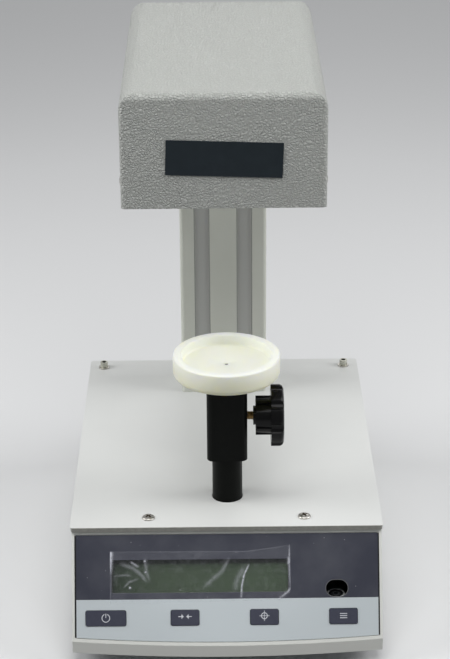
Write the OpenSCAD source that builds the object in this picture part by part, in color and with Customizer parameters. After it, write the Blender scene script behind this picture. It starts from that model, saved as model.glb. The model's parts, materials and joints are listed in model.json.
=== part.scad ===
// Bench surface tensiometer, plate method. Sizes are in millimetres.
// X runs to the right, Y to the rear and Z up. The origin is on the bench,
// under the middle of the instrument.

/* [Top plate] */
// Width of the top plate
plate_w = 210; // [204:1:225]
// Depth of the top plate
plate_d = 268; // [264:1:285]
// Thickness of the top plate
plate_t = 3; // [2:0.5:4]
// Corner radius of the top plate
plate_corner_r = 2.5; // [1:0.5:5]
// Overhang of the top plate at each side of the body
side_lip = 1.2; // [0.5:0.1:2.5]
// Overhang of the top plate at the front of the body
front_lip = 1.6; // [1:0.1:3]
// Overhang of the top plate behind the body
rear_lip = 4; // [3:0.5:6]
// Distance of the rear plate screws from the plate's rear edge
rear_screw_inset = 12.7; // [11:0.1:15]
// Distance of the rear plate screws from the plate's side edges
rear_screw_side = 11; // [10:0.5:14]
// Distance of the front plate screws from the plate's front edge
front_screw_inset = 13.4; // [12:0.1:18]
// Half the distance between the two front plate screws
front_screw_x = 52.6; // [45:0.1:60]

/* [Body shell] */
// Height from the body's lower edge to the upper face of the top plate
base_h = 77.5; // [75:0.5:85]
// Wall thickness of the body shell
body_wall = 2.5; // [2:0.1:3]
// Upright rim between the top plate and the sloping front face
rim_h = 1; // [0.5:0.1:2]
// Height of the upright band under the sloping front face
fascia_h = 8.5; // [6:0.5:11]
// How far the ends of the band stand in front of the top plate
front_reach = 30.7; // [27:0.1:35]
// How much further forward the band bows at its middle
front_bow = 7; // [4:0.5:8]
// Thickness of the bottom plate
floor_t = 2; // [1.5:0.5:3]
// Clearance of the bottom plate inside the body shell
floor_gap = 0.3; // [0.2:0.1:0.6]
// Diameter of the pillars that tie the two plates together
pillar_d = 10; // [8:0.5:11]

/* [Front panel] */
// Width of the printed overlay
overlay_w = 202; // [196:0.1:203.4]
// Shift of the overlay to the right in its recess
overlay_shift = 0.1; // [0:0.05:0.3]
// Clearance above and below the overlay
overlay_gap = 0.5; // [0.3:0.05:0.6]
// Clearance at each side of the overlay
overlay_side_gap = 1.1; // [0.4:0.1:1.2]
// Distance of the overlay's top edge from the top of the slope
overlay_top = 1.9; // [1.5:0.1:3]
// Distance of the overlay's lower edge from the foot of the slope
overlay_foot = 2.7; // [2:0.1:4]
// Thickness of the overlay
overlay_t = 0.7; // [0.4:0.1:0.8]
// Depth of the recess that the overlay lies in
recess_t = 0.9; // [0.85:0.05:1]
// Width of the display window
window_w = 118; // [100:1:120]
// Height of the display window, measured on the slope
window_h = 22; // [18:0.5:24]
// Sideways place of the display window's middle
window_x = -18.1; // [-22:0.1:-10]
// Distance of the display window's middle from the top of the slope
window_v = 29.6; // [27:0.1:30]
// Thickness of the clear pane
pane_t = 1.2; // [1:0.1:2]
// Width of the loose protective film
film_w = 121.5; // [118:0.5:124]
// Height of the loose protective film
film_h = 34; // [30:0.5:38]
// Thickness of the protective film
film_t = 0.15; // [0.1:0.05:0.3]

/* [Keys] */
// Distance between neighbouring keys
key_pitch = 52.9; // [48:0.1:54]
// Sideways place of the middle of the row of keys
key_row_x = -1.8; // [-3:0.1:1]
// Distance of the keys from the top of the slope
key_v = 57.2; // [56.5:0.1:58.5]
// Width of the power key
power_key_w = 27.1; // [20:0.1:28]
// Width of the other keys
key_w = 18.9; // [14:0.1:24]
// Height of the keys
key_h = 10.3; // [8:0.1:11]
// Corner radius of the keys
key_r = 1.2; // [0.5:0.1:2]
// Height of the keys above the body's sloping face
key_proud = 0.3; // [0.2:0.05:0.6]
// Clearance around each key
key_gap = 0.25; // [0.2:0.05:0.4]
// Travel of a key
key_travel = 0.4; // [0.3:0.05:0.6]
// Depth of the key circuit board under the mean front plane
key_board_depth = 10; // [9.5:0.1:12]

/* [Level] */
// Width of the sight port over the level
port_w = 15.6; // [13:0.1:17]
// Height of the sight port, measured on the slope
port_h = 12; // [10:0.1:12.5]
// Sideways place of the sight port
port_x = 73.4; // [68:0.1:78]
// Distance of the sight port from the top of the slope
port_v = 38.6; // [37:0.1:39]
// Wall of the ring that lines the sight port
port_ring_t = 0.5; // [0.4:0.1:0.8]
// Diameter of the level's cup
level_d = 12; // [10:0.5:13]
// Height of the level's cup
level_h = 8; // [6:0.5:9]
// Distance of the level behind the middle of the sight port
level_back = 10.4; // [10:0.1:12]
// Distance of the level's top under the middle of the sight port
level_drop = 10; // [9.5:0.1:10.5]

/* [Feet] */
// Diameter of a rubber foot pad
pad_d = 24; // [18:1:28]
// Height of a rubber foot pad
pad_h = 4.5; // [4:0.5:6]
// Diameter of the knurled adjusting wheel
wheel_d = 22; // [18:1:26]
// Thickness of the knurled adjusting wheel
wheel_h = 3; // [2.5:0.5:4]
// Gap between the adjusting wheel and the bottom plate
foot_gap = 3; // [2.5:0.5:5]
// Diameter of the foot's screw
stud_d = 8; // [6:1:10]
// Sideways distance of the feet from the plate's side edges
foot_side = 18; // [16:1:24]
// Distance of the front feet from the plate's front edge
foot_front = 22; // [18:1:30]
// Distance of the rear feet from the plate's rear edge
foot_rear = 30; // [29:1:40]

/* [Lift] */
// Diameter of the lift post
post_d = 20.5; // [18:0.5:21]
// Sideways place of the lift post
post_x = 1; // [-3:0.1:3]
// Distance of the lift post from the plate's front edge
post_y_in = 44.5; // [43:0.5:50]
// Free height above the post in the clamp block's bore with the block right down
post_top_gap = 0.9; // [0.5:0.1:3]
// Diameter of the bore up the post
post_bore_d = 12; // [11:0.5:13]
// Travel of the lift
lift_travel = 22; // [10:1:22]
// Outer diameter of the guide bush
bush_d = 26; // [25:0.5:30]
// Length of the guide bush
bush_h = 20; // [14:0.5:20]
// Width of the square lift motor
motor_w = 42.3; // [38:0.1:44]
// Height of the lift motor
motor_h = 22; // [18:0.5:22]
// Diameter of the lead screw
lead_d = 8; // [6:0.5:9]
// Inner width of the lift frame
frame_in_w = 48; // [46:0.5:54]
// Depth of the lift frame from front to rear
frame_depth = 42; // [36:1:46]
// Thickness of the lift frame's plates
frame_t = 3; // [2:0.5:3]

/* [Clamp block and tray] */
// Width of the square clamp block
block_w = 27.3; // [26:0.1:32]
// Rounding of the clamp block's upright edges
block_r = 4.5; // [2:0.1:6]
// Height of the clamp block
block_h = 58.7; // [56:0.1:64]
// Height of the clamp block's lower edge above the top plate
block_low = 33.2; // [32:0.1:36]
// Thickness of the solid top of the clamp block
block_cap = 5; // [4:0.5:6]
// Height of the clamp screw's axis above the top plate
clamp_up = 61.2; // [60:0.1:63]
// Diameter of the clamp screw
clamp_screw_d = 6; // [5:0.5:8]
// Bare length of clamp screw between the block and the knob
clamp_screw_bare = 4.1; // [3.5:0.1:7]
// Depth of the flat on the post that the clamp screw bears on
flat_depth = 1; // [0.5:0.1:1.5]
// Travel of the clamp block up and down from its rest place
block_travel = 10; // [5:0.5:10]
// Diameter of the tray
tray_d = 72; // [66:0.5:80]
// Height of the tray
tray_h = 15.3; // [13:0.1:17]
// Diameter of the recess in the tray
tray_recess_d = 60.7; // [52:0.1:62]
// Depth of the recess in the tray
tray_recess_h = 7.1; // [5:0.1:8]
// Rounding of the tray's lower edge
tray_round = 4; // [2:0.5:5]
// Diameter of the hole in the middle of the tray
tray_hole_d = 2.8; // [2:0.1:3.5]

/* [Clamp knob] */
// Diameter of the knob's grip
knob_d = 42; // [34:0.5:46]
// Thickness of the knob's grip
knob_t = 8.6; // [7:0.1:11]
// Diameter of the knob's hub
hub_d = 25; // [18:0.5:28]
// Length of the knob's hub
hub_l = 10.3; // [8:0.1:14]
// Diameter of the collar at the root of the knob
collar_d = 13; // [11:0.5:16]
// Length of the collar at the root of the knob
collar_l = 1.6; // [1:0.1:3]
// Number of finger grooves round the grip
knob_grooves = 8; // [5:1:10]
// Depth of the finger grooves
knob_groove = 1.9; // [1:0.1:2.5]

/* [Column] */
// Width of the column
column_w = 64.2; // [58:0.1:70]
// Depth of the column from front to rear
column_d = 34; // [30:0.5:34]
// Distance of the column's front face from the plate's front edge
column_y_in = 209.2; // [206:0.1:209.5]
// Wall thickness of the column
column_wall = 2.5; // [2:0.1:3.5]
// Corner rounding of the column
column_r = 3; // [1:0.5:4]
// Width of the two shallow grooves down the column
groove_w = 11.1; // [8:0.1:14]
// Depth of the two shallow grooves
groove_t = 1.2; // [0.5:0.1:1.4]
// Width of the flat strip between the grooves
strip_w = 20.4; // [14:0.1:24]

/* [Head] */
// Width of the head cover
head_w = 130.7; // [120:0.1:140]
// Depth of the head cover from front to rear
head_d = 227; // [226.5:0.1:240]
// Height of the head cover
head_h = 76; // [72:0.5:90]
// Distance of the head cover's front from the plate's front edge
head_y_in = 19.6; // [18:0.1:24]
// Height of the head cover's lower edge above the top plate
head_up = 219.5; // [200:0.5:240]
// Wall thickness of the head cover
cover_wall = 2.2; // [1.5:0.1:3]
// Rounding of the head cover's upper side edges
head_side_r = 12; // [4:0.5:14]
// Rounding of the head cover's upper front and rear edges
head_top_r = 5.5; // [4:0.5:10]
// Rounding of the head cover's upright rear edges
head_rear_r = 10; // [4:0.5:12]
// Rounding of the head cover's upright front edges
head_front_r = 3; // [2.4:0.1:4]
// Thickness of the plate that closes the head
head_plate_t = 3; // [2:0.5:4]
// Height of that plate above the cover's lower edge
head_plate_up = 1.5; // [1:0.5:3]
// Height of the cover screws above the cover's lower edge
cover_screw_up = 12; // [11:0.5:22]
// Width of the bare name plate
name_w = 74; // [50:1:90]
// Height of the bare name plate
name_h = 23; // [15:0.5:30]
// Distance of the name plate's middle under the head's top
name_drop = 43; // [35:0.5:45]
// Tilt of the name plate, which was stuck on by hand
name_tilt = 2; // [0:0.5:2]

/* [Force sensor] */
// Length of the sensor beam
beam_l = 120; // [110:1:135]
// Width of the sensor beam
beam_w = 30; // [20:1:40]
// Height of the sensor beam
beam_h = 22; // [20:0.5:28]
// Diameter of the two flexing bores in the sensor beam
beam_bore_d = 14; // [10:0.5:16]
// Height of the block that carries the sensor beam
sensor_mount_h = 18; // [16:0.5:22]
// Length of the hook under its pin
hook_l = 19.5; // [16:0.5:20]

/* [Hidden] */
$fn = 64;

// Running clearance of a shaft in its bore, on the radius
run_gap = 0.05;
// Clearance of parts that are fixed to each other, on the radius
seat_gap = 0.02;
// Gap between flat faces that do not move on each other
face_gap = 0.1;
// Extra length of a cutting tool past the face that it cuts
cut = 1;
// Segments along the bowed front
front_steps = 20;
// Height of the thin upper slice that the sloping face is blended from
blend_t = 0.02;

// Heights above the bench
foot_h = pad_h + wheel_h + foot_gap;
plate_top_z = foot_h + base_h;
plate_low_z = plate_top_z - plate_t;
floor_top_z = foot_h + floor_t;

// Front to rear
front_all = front_reach + front_bow;
plate_front_y = (front_all - plate_d) / 2;
plate_rear_y = plate_front_y + plate_d;
body_w = plate_w - 2 * side_lip;
body_rear_y = plate_rear_y - rear_lip;
post_y = plate_front_y + post_y_in;

// Sloping front: its mean plane, and how far the true face lies from it
slope_z = base_h - plate_t - rim_h - fascia_h;
slope_y = front_lip + front_reach + front_bow * 2 / 3;
slope_a = atan2(slope_z, slope_y);
slope_len = sqrt(slope_z * slope_z + slope_y * slope_y);
slope_top_y = plate_front_y + front_lip;
slope_top_z = plate_low_z - rim_h;
function bow_at(x) = front_bow * (1 - pow(2 * x / body_w, 2));
function face_depth(x, v) =
    (front_bow * 2 / 3 - bow_at(x)) * v / slope_len * sin(slope_a);

// Screws and pillars
m4_d = 4;
m4_hole_d = 4.4;
m4_head_d = 8.6;
m4_head_h = 2;
m5_d = 5;
m5_hole_d = 5.4;
low_head_d = 7.6;
cover_head_d = 6.8;
cover_head_h = 1.4;
small_head_h = 2.2;
washer_d = 8.6;
washer_t = 1;
cap_head_d = 5.8;
cap_head_h = 4;
cap_socket_d = 3;
screw_thread_l = 10;
pillar_h = base_h - plate_t - floor_t;
pillar_spots = [
    [-front_screw_x, plate_front_y + front_screw_inset],
    [front_screw_x, plate_front_y + front_screw_inset],
    [-plate_w / 2 + rear_screw_side, plate_rear_y - rear_screw_inset],
    [plate_w / 2 - rear_screw_side, plate_rear_y - rear_screw_inset]
];

// Feet
foot_x = plate_w / 2 - foot_side;
foot_front_y = plate_front_y + foot_front;
foot_rear_y = plate_rear_y - foot_rear;
foot_spots = [
    [-foot_x, foot_front_y], [foot_x, foot_front_y],
    [-foot_x, foot_rear_y], [foot_x, foot_rear_y]
];
insert_flange_d = stud_d + 6;
insert_d = stud_d + 3;
insert_flange_h = 1.5;
insert_h = 8;
stud_seat_h = 2;

// Front panel stack, as depths under the mean front plane
pocket_depth = recess_t + 1.7;
pocket_w = window_w + 10;
pocket_h = window_h + 12;
pane_depth = pocket_depth + face_gap;
lcd_depth = pane_depth + pane_t + face_gap;
lcd_frame_h = 6;
lcd_board_h = 1.6;
lcd_board_over = 2;
pane_gap = 0.5;
pane_w = pocket_w - 2 * pane_gap;
pane_h = pocket_h - 2 * pane_gap;
film_lift = 0.1;
film_turn = 1.6;
film_drop = -0.6;
panel_reach = 12;
key_reach = 8;
board_t = 1.6;
key_board_w = 3 * key_pitch + 28;
key_board_h = 14;
switch_w = 6;
switch_h = 3.5;
switch_bore_d = 3;
switch_bore_h = key_travel + 0.8;
switch_top = key_board_depth - switch_h;
stem_gap = 0.3;
key_skirt = 2.2;
key_ws = [power_key_w, key_w, key_w, key_w];
function key_x(i) = key_row_x + (i - 1.5) * key_pitch;
boss_d = 5;
boss_under = 0.6;
boss_xs = [key_x(0.5), key_x(1.5), key_x(2.5)];

// Level under the sight port
port_y = slope_top_y - port_v * cos(slope_a);
port_z = slope_top_z - port_v * sin(slope_a);
port_ring_proud = 0.2;
port_face = face_depth(port_x, port_v);
level_y = port_y + level_back;
level_top_z = port_z - level_drop;
level_low_z = level_top_z - level_h;
level_wall = 1;
level_rim = 0.2;
bracket_t = 2;
bracket_w = level_d + 2;
bracket_back = level_d / 2 + 4;
bracket_foot = 12;

// Lift, as heights above the bench
motor_top_z = floor_top_z + motor_h;
web_top_z = motor_top_z + frame_t;
carriage_t = 3;
carriage_d = 16;
carriage_gap = 0.3;
carriage_low_z = web_top_z + 0.5;
post_low_z = carriage_low_z + carriage_t;
bush_top_z = plate_low_z - face_gap;
bush_low_z = bush_top_z - bush_h;
top_web_t = 5;
frame_out_w = frame_in_w + 2 * frame_t;
frame_flange = 10;
frame_spots = [for (sx = [-1, 1], sy = [-1, 1])
    [post_x + sx * (frame_out_w + frame_flange) / 2, post_y + sy * frame_depth / 4]];
motor_corner_r = 4;
pilot_d = 22;
pilot_h = 2;
nut_spigot_h = 10;
lead_low_z = floor_top_z + 6;
lead_end_gap = 0.3;
end_chamfer = 1;
lead_top_z = post_low_z + lift_travel + nut_spigot_h + 4;
post_bore_h = lead_top_z - post_low_z + 5;
plate_post_hole_d = post_d + 0.8;

// Clamp block, tray and knob
block_low_z = plate_top_z + block_low;
block_top_z = block_low_z + block_h;
clamp_z = plate_top_z + clamp_up;
post_top_z = block_top_z - block_cap - block_travel - post_top_gap;
flat_x = post_d / 2 - flat_depth;
flat_low_z = clamp_z - block_travel - clamp_screw_d;
pad_l = 2;
pad_x = flat_x + face_gap;
clamp_screw_x = pad_x + pad_l;
knob_x = block_w / 2 + clamp_screw_bare;
hub_x = knob_x + collar_l;
grip_x = hub_x + hub_l;
knob_end_x = grip_x + knob_t;
clamp_screw_grip = 3;
groove_cut_d = 10;
stud_top_d = 4;
stud_top_h = tray_h - tray_recess_h - 1;
stud_low_h = block_cap - 1.5;

// Column and its bolts
column_y = plate_front_y + column_y_in + column_d / 2;
head_low_z = plate_top_z + head_up;
head_plate_low_z = head_low_z + head_plate_up;
head_plate_top_z = head_plate_low_z + head_plate_t;
column_h = head_plate_low_z - plate_top_z;
channel_d = m5_d + 2 * run_gap;
channel_boss_d = 9;
channel_x = column_w / 2 - column_wall - channel_boss_d / 2 + 1;
channel_y = column_d / 2 - column_wall - channel_boss_d / 2 + 1;
bolt_head_d = 8.5;
bolt_head_h = 5;
bolt_grip = 25;
bolt_spots = [for (sx = [-1, 1], sy = [-1, 1]) [sx * channel_x, column_y + sy * channel_y]];

// Head
head_front_y = plate_front_y + head_y_in;
head_rear_y = head_front_y + head_d;
head_top_z = head_low_z + head_h;
head_mid_y = (head_front_y + head_rear_y) / 2;
head_plate_gap = 0.3;
head_plate_w = head_w - 2 * (cover_wall + head_plate_gap);
head_plate_d = head_d - 2 * (cover_wall + head_plate_gap);
flange_t = 2;
flange_h = cover_screw_up + 8;
flange_front = 12;
flange_rear = 20;
cover_screw_front = 20;
cover_screw_rear = 30;
cover_screw_z = head_low_z + cover_screw_up;
cover_screw_ys = [head_front_y + cover_screw_front, head_rear_y - cover_screw_rear];
name_t = 0.6;
name_x = 0.4;
hook_hole_d = 14;

// Force sensor and hook
beam_low_z = head_plate_top_z + sensor_mount_h;
beam_front_in = 10;
beam_front_y = post_y + beam_front_in;
beam_rear_y = beam_front_y + beam_l;
mount_l = 32;
mount_w = beam_w + 8;
arm_t = 3;
arm_l = 34;
arm_w = 16;
stem_d = 5;
hook_under = 8;
hook_pin_z = head_low_z + hook_l - hook_under;
hook_pin_d = 2;
hook_t = 1.6;
ear_t = 1.2;
ear_gap = 0.2;
ear_r = 2.4;

// Main circuit board. A block on it is [x, y, width, depth, height], from its middle.
main_w = 130;
main_d = 90;
main_x = -25;
main_y_in = 140;
main_y = plate_front_y + main_y_in;
board_corner_r = 2;
chip_w = 22;
driver_w = 12;
plug_w = 18;
plug_d = 8;
plug_h = 9;
plug_inset = 5;
board_blocks = [
    [-20, 0, chip_w, chip_w, 2.2],
    [22, 10, driver_w, 18, 3],
    [-48, main_d / 2 - plug_inset - plug_d / 2, plug_w, plug_d, plug_h],
    [-20, main_d / 2 - plug_inset - plug_d / 2, plug_w, plug_d, plug_h]
];
capacitor_d = 8;
capacitor_h = 14;
capacitor_pitch = 9;
capacitor_x = 40;
capacitor_y = -25;
standoff_h = 8;
standoff_d = 6;
standoff_inset = 5;
socket_x = 60;
socket_z = foot_h + 34;
socket_flange_d = 14;
socket_flange_h = 2;
socket_d = 11;
socket_l = 16;
socket_bore_d = 5.6;
socket_bore_h = 9;
socket_pin_d = 2.1;
socket_nut_h = 2.5;

paint = "#d9dcd6";
plate_paint = "#dfe1df";
black = "#17181a";
steel = "#b9bcbf";
brass = "#b08d4f";
board_green = "#2f6b45";

// Rounded rectangle with true arcs at its corners
module rounded_rect(w, h, r) {
    square([w - 2 * r, h], center = true);
    square([w, h - 2 * r], center = true);
    for (sx = [-1, 1], sy = [-1, 1]) {
        translate([sx * (w / 2 - r), sy * (h / 2 - r)])
            circle(r);
    }
}

// Slot with round ends
module slot_shape(w, h) {
    square([w - h, h], center = true);
    for (sx = [-1, 1]) {
        translate([sx * (w - h) / 2, 0])
            circle(d = h);
    }
}

module tube(d, bore, h) {
    difference() {
        cylinder(d = d, h = h);
        translate([0, 0, -cut])
            cylinder(d = bore, h = h + 2 * cut);
    }
}

// Domed screw head on a shank, with a cross recess
module pan_screw(head_d, head_h, shank_d, shank_l) {
    side_h = head_h * 0.35;
    dome_h = head_h - side_h;
    cross_l = head_d * 0.52;
    cross_w = head_d * 0.13;
    difference() {
        union() {
            rotate_extrude()
                polygon([
                    [0, 0], [head_d / 2, 0], [head_d / 2, side_h],
                    for (a = [15:15:75]) [head_d / 2 * cos(a), side_h + dome_h * sin(a)],
                    [0, head_h]
                ]);
            translate([0, 0, -shank_l])
                cylinder(d = shank_d, h = shank_l + seat_gap);
        }
        for (a = [0, 90]) {
            rotate([0, 0, a])
                translate([0, 0, head_h])
                    cube([cross_l, cross_w, head_h], center = true);
        }
    }
}

// Outline of the body in plan. s is 0 at the top of the slope and 1 at its foot,
// depth is how far the front lies under the outer face, and wall insets the rest.
module body_outline(s, depth, wall) {
    w = body_w - 2 * wall;
    back = depth / sin(slope_a);
    y0 = slope_top_y + back;
    reach = front_lip + front_reach;
    polygon(concat(
        [[w / 2, body_rear_y - wall], [-w / 2, body_rear_y - wall]],
        [for (i = [0:front_steps])
            let (x = w * (i / front_steps - 0.5))
                [x, y0 - s * (reach + bow_at(x))]]
    ));
}

// Whole body as a solid, with its straight top edge blended into the bowed band
module body_form(depth, wall, over) {
    hull() {
        translate([0, 0, slope_top_z - blend_t])
            linear_extrude(blend_t)
                body_outline(0, depth, wall);
        translate([0, 0, foot_h - over])
            linear_extrude(fascia_h + over)
                body_outline(1, depth, wall);
    }
    translate([0, 0, slope_top_z - blend_t])
        linear_extrude(blend_t + rim_h + over)
            body_outline(0, depth, wall);
}

// Places its children on the mean front plane, with Z pointing out of the face
module on_slope(x, v, depth) {
    translate([0, slope_top_y, slope_top_z])
        rotate([slope_a, 0, 0])
            translate([x, -v, -depth])
                children();
}

// Layer of the front face between two depths under it
module face_layer(upper, lower) {
    difference() {
        body_form(upper, 0, 0);
        body_form(lower, -cut, cut);
    }
}

// Outline of the overlay, grown by a margin at its sides and one above and below it
module overlay_outline(side, margin) {
    w = overlay_w + 2 * side;
    foot = slope_len - overlay_foot + margin;
    polygon(concat(
        [[w / 2, margin - overlay_top], [-w / 2, margin - overlay_top]],
        [for (i = [0:front_steps])
            let (x = w * (i / front_steps - 0.5))
                [x, -foot - (bow_at(x) - front_bow * 2 / 3) * cos(slope_a)]]
    ));
}

module slope_prism(x, v, reach) {
    on_slope(x, v, reach)
        linear_extrude(2 * reach)
            children();
}

module key_outline(i, margin) {
    rounded_rect(key_ws[i] + 2 * margin, key_h + 2 * margin, key_r + margin);
}

module base_body() {
    color(paint)
    difference() {
        union() {
            difference() {
                body_form(0, 0, 0);
                body_form(body_wall, body_wall, cut);
            }
            for (x = boss_xs) {
                on_slope(x, key_v, key_board_depth)
                    cylinder(d = boss_d, h = key_board_depth - face_depth(x, key_v) - recess_t - boss_under);
            }
        }
        intersection() {
            face_layer(-cut, recess_t);
            slope_prism(0, 0, panel_reach)
                overlay_outline(overlay_side_gap, overlay_gap);
        }
        slope_prism(window_x, window_v, panel_reach)
            square([window_w, window_h], center = true);
        on_slope(window_x, window_v, panel_reach)
            linear_extrude(panel_reach - pocket_depth)
                square([pocket_w, pocket_h], center = true);
        slope_prism(port_x, port_v, panel_reach)
            slot_shape(port_w, port_h);
        for (i = [0:3]) {
            slope_prism(key_x(i), key_v, key_reach)
                key_outline(i, key_gap);
        }
        translate([socket_x, body_rear_y + cut, socket_z])
            rotate([90, 0, 0])
                cylinder(d = socket_d + 2 * seat_gap, h = body_wall + 2 * cut);
    }
}

module bottom_plate() {
    color(steel)
    difference() {
        translate([0, 0, foot_h])
            linear_extrude(floor_t)
                body_outline(1, body_wall + floor_gap, body_wall + floor_gap);
        for (p = concat(pillar_spots, frame_spots)) {
            translate([p[0], p[1], foot_h - cut])
                cylinder(d = m4_hole_d, h = floor_t + 2 * cut);
        }
        for (p = foot_spots) {
            translate([p[0], p[1], foot_h - cut])
                cylinder(d = insert_d + 2 * seat_gap, h = floor_t + 2 * cut);
        }
    }
}

module bottom_screws() {
    color(steel)
    for (p = pillar_spots) {
        translate([p[0], p[1], foot_h])
            mirror([0, 0, 1])
                pan_screw(low_head_d, small_head_h, m4_d, floor_t + screw_thread_l);
    }
    color(steel)
    for (p = frame_spots) {
        translate([p[0], p[1], foot_h])
            mirror([0, 0, 1])
                pan_screw(low_head_d, small_head_h, m4_d, floor_t + frame_t - face_gap);
    }
}

module pillars() {
    color(steel)
    for (p = pillar_spots) {
        translate([p[0], p[1], floor_top_z])
            difference() {
                cylinder(d = pillar_d, h = pillar_h);
                for (z = [-cut, pillar_h - screw_thread_l - cut]) {
                    translate([0, 0, z])
                        cylinder(d = m4_d + 2 * seat_gap, h = screw_thread_l + 2 * cut);
                }
            }
    }
}

module foot_inserts() {
    color(brass)
    for (p = foot_spots) {
        translate([p[0], p[1], foot_h])
            difference() {
                union() {
                    cylinder(d = insert_d, h = floor_t + insert_h);
                    translate([0, 0, floor_t])
                        cylinder(d = insert_flange_d, h = insert_flange_h);
                }
                translate([0, 0, -cut])
                    cylinder(d = stud_d + 2 * run_gap, h = floor_t + insert_h + 2 * cut);
            }
    }
}

module top_plate() {
    color(plate_paint)
    difference() {
        translate([0, (plate_front_y + plate_rear_y) / 2, plate_low_z])
            linear_extrude(plate_t)
                rounded_rect(plate_w, plate_d, plate_corner_r);
        translate([post_x, post_y, plate_low_z - cut])
            cylinder(d = plate_post_hole_d, h = plate_t + 2 * cut);
        for (p = pillar_spots) {
            translate([p[0], p[1], plate_low_z - cut])
                cylinder(d = m4_hole_d, h = plate_t + 2 * cut);
        }
        for (p = bolt_spots) {
            translate([p[0], p[1], plate_low_z - cut])
                cylinder(d = m5_hole_d, h = plate_t + 2 * cut);
        }
    }
}

module plate_screws() {
    color(steel)
    for (i = [0, 1]) {
        translate([pillar_spots[i][0], pillar_spots[i][1], plate_top_z])
            pan_screw(m4_head_d, m4_head_h, m4_d, plate_t + screw_thread_l);
    }
}

module rear_screws() {
    color("#5f6266")
    for (i = [2, 3]) {
        translate([pillar_spots[i][0], pillar_spots[i][1], plate_top_z + washer_t])
            difference() {
                union() {
                    cylinder(d = cap_head_d, h = cap_head_h);
                    translate([0, 0, -plate_t - washer_t - screw_thread_l])
                        cylinder(d = m4_d, h = plate_t + washer_t + screw_thread_l + cut);
                }
                translate([0, 0, cap_head_h - cap_socket_d / 2])
                    cylinder(d = cap_socket_d, h = cap_head_h, $fn = 6);
            }
    }
}

module rear_washers() {
    color(steel)
    for (i = [2, 3]) {
        translate([pillar_spots[i][0], pillar_spots[i][1], plate_top_z])
            tube(washer_d, m4_d + 2 * seat_gap, washer_t);
    }
}

module front_overlay() {
    color("#b9c2cc")
    difference() {
        intersection() {
            face_layer(recess_t - overlay_t - run_gap, recess_t - run_gap);
            slope_prism(overlay_shift, 0, panel_reach)
                overlay_outline(0, 0);
        }
        slope_prism(window_x, window_v, panel_reach)
            square([window_w, window_h], center = true);
        slope_prism(port_x, port_v, panel_reach)
            slot_shape(port_w, port_h);
        for (i = [0:3]) {
            slope_prism(key_x(i), key_v, key_reach)
                key_outline(i, key_gap);
        }
    }
}

module sight_ring() {
    color("#cfd2d4")
    on_slope(port_x, port_v, port_face + body_wall)
        linear_extrude(body_wall + port_ring_proud)
            difference() {
                slot_shape(port_w - 2 * seat_gap, port_h - 2 * seat_gap);
                slot_shape(port_w - 2 * port_ring_t, port_h - 2 * port_ring_t);
            }
}

module display_window() {
    color("#a8b4b0")
    on_slope(window_x, window_v, pane_depth + pane_t)
        linear_extrude(pane_t)
            square([pane_w, pane_h], center = true);
}

module lcd_module() {
    color("#4f6350")
    on_slope(window_x, window_v, lcd_depth + lcd_frame_h) {
        linear_extrude(lcd_frame_h)
            square([pane_w, pane_h], center = true);
        translate([0, 0, -lcd_board_h])
            linear_extrude(lcd_board_h)
                square([pocket_w + lcd_board_over, pocket_h], center = true);
    }
}

module display_film() {
    color("#c9ced2")
    intersection() {
        face_layer(-film_lift - film_t, -film_lift);
        slope_prism(window_x, window_v + film_drop, panel_reach)
            rotate([0, 0, film_turn])
                square([film_w, film_h], center = true);
    }
}

module key_board() {
    color(board_green)
    on_slope(key_row_x, key_v, key_board_depth + board_t)
        linear_extrude(board_t)
            rounded_rect(key_board_w, key_board_h, 1);
}

module key_switches() {
    color(black)
    for (i = [0:3]) {
        on_slope(key_x(i), key_v, key_board_depth)
            difference() {
                linear_extrude(switch_h)
                    square([switch_w, switch_w], center = true);
                translate([0, 0, switch_h - switch_bore_h])
                    cylinder(d = switch_bore_d + 2 * run_gap, h = switch_bore_h + cut);
            }
    }
}

// Key pad that follows the bowed face, on a stem that reaches into its switch
module key(i) {
    stem_low = switch_top + switch_bore_h - key_travel - stem_gap;
    stem_top = face_depth(key_x(i), key_v) + key_skirt / 2;
    color("#3c3f52")
    union() {
        intersection() {
            face_layer(-key_proud, key_skirt);
            slope_prism(key_x(i), key_v, key_reach)
                key_outline(i, 0);
        }
        on_slope(key_x(i), key_v, stem_low)
            cylinder(d = switch_bore_d, h = stem_low - stem_top);
    }
}

module key_power() {
    key(0);
}

module key_tare() {
    key(1);
}

module key_cal() {
    key(2);
}

module key_mode() {
    key(3);
}

module level_cup() {
    color(steel)
    translate([port_x, level_y, level_low_z])
        difference() {
            cylinder(d = level_d, h = level_h);
            translate([0, 0, level_wall])
                cylinder(d = level_d - 2 * level_wall, h = level_h);
        }
}

module level_glass() {
    color("#9fae5a")
    translate([port_x, level_y, level_low_z + level_wall])
        cylinder(d = level_d - 2 * level_wall - 2 * run_gap, h = level_h - level_wall - level_rim);
}

module level_bracket() {
    color(steel)
    translate([port_x - bracket_w / 2, level_y, floor_top_z]) {
        translate([0, -level_d / 2, level_low_z - floor_top_z - bracket_t])
            cube([bracket_w, level_d / 2 + bracket_back + bracket_t, bracket_t]);
        translate([0, bracket_back, 0])
            cube([bracket_w, bracket_t, level_low_z - floor_top_z]);
        translate([0, bracket_back, 0])
            cube([bracket_w, bracket_foot, bracket_t]);
    }
}

module main_board() {
    color(board_green)
    translate([main_x, main_y, floor_top_z + standoff_h]) {
        linear_extrude(board_t)
            rounded_rect(main_w, main_d, board_corner_r);
        for (b = board_blocks) {
            translate([b[0], b[1], board_t - seat_gap])
                linear_extrude(b[4])
                    square([b[2], b[3]], center = true);
        }
        for (i = [-1:1]) {
            translate([capacitor_x + capacitor_pitch * i, capacitor_y, board_t - seat_gap])
                cylinder(d = capacitor_d, h = capacitor_h);
        }
    }
}

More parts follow.
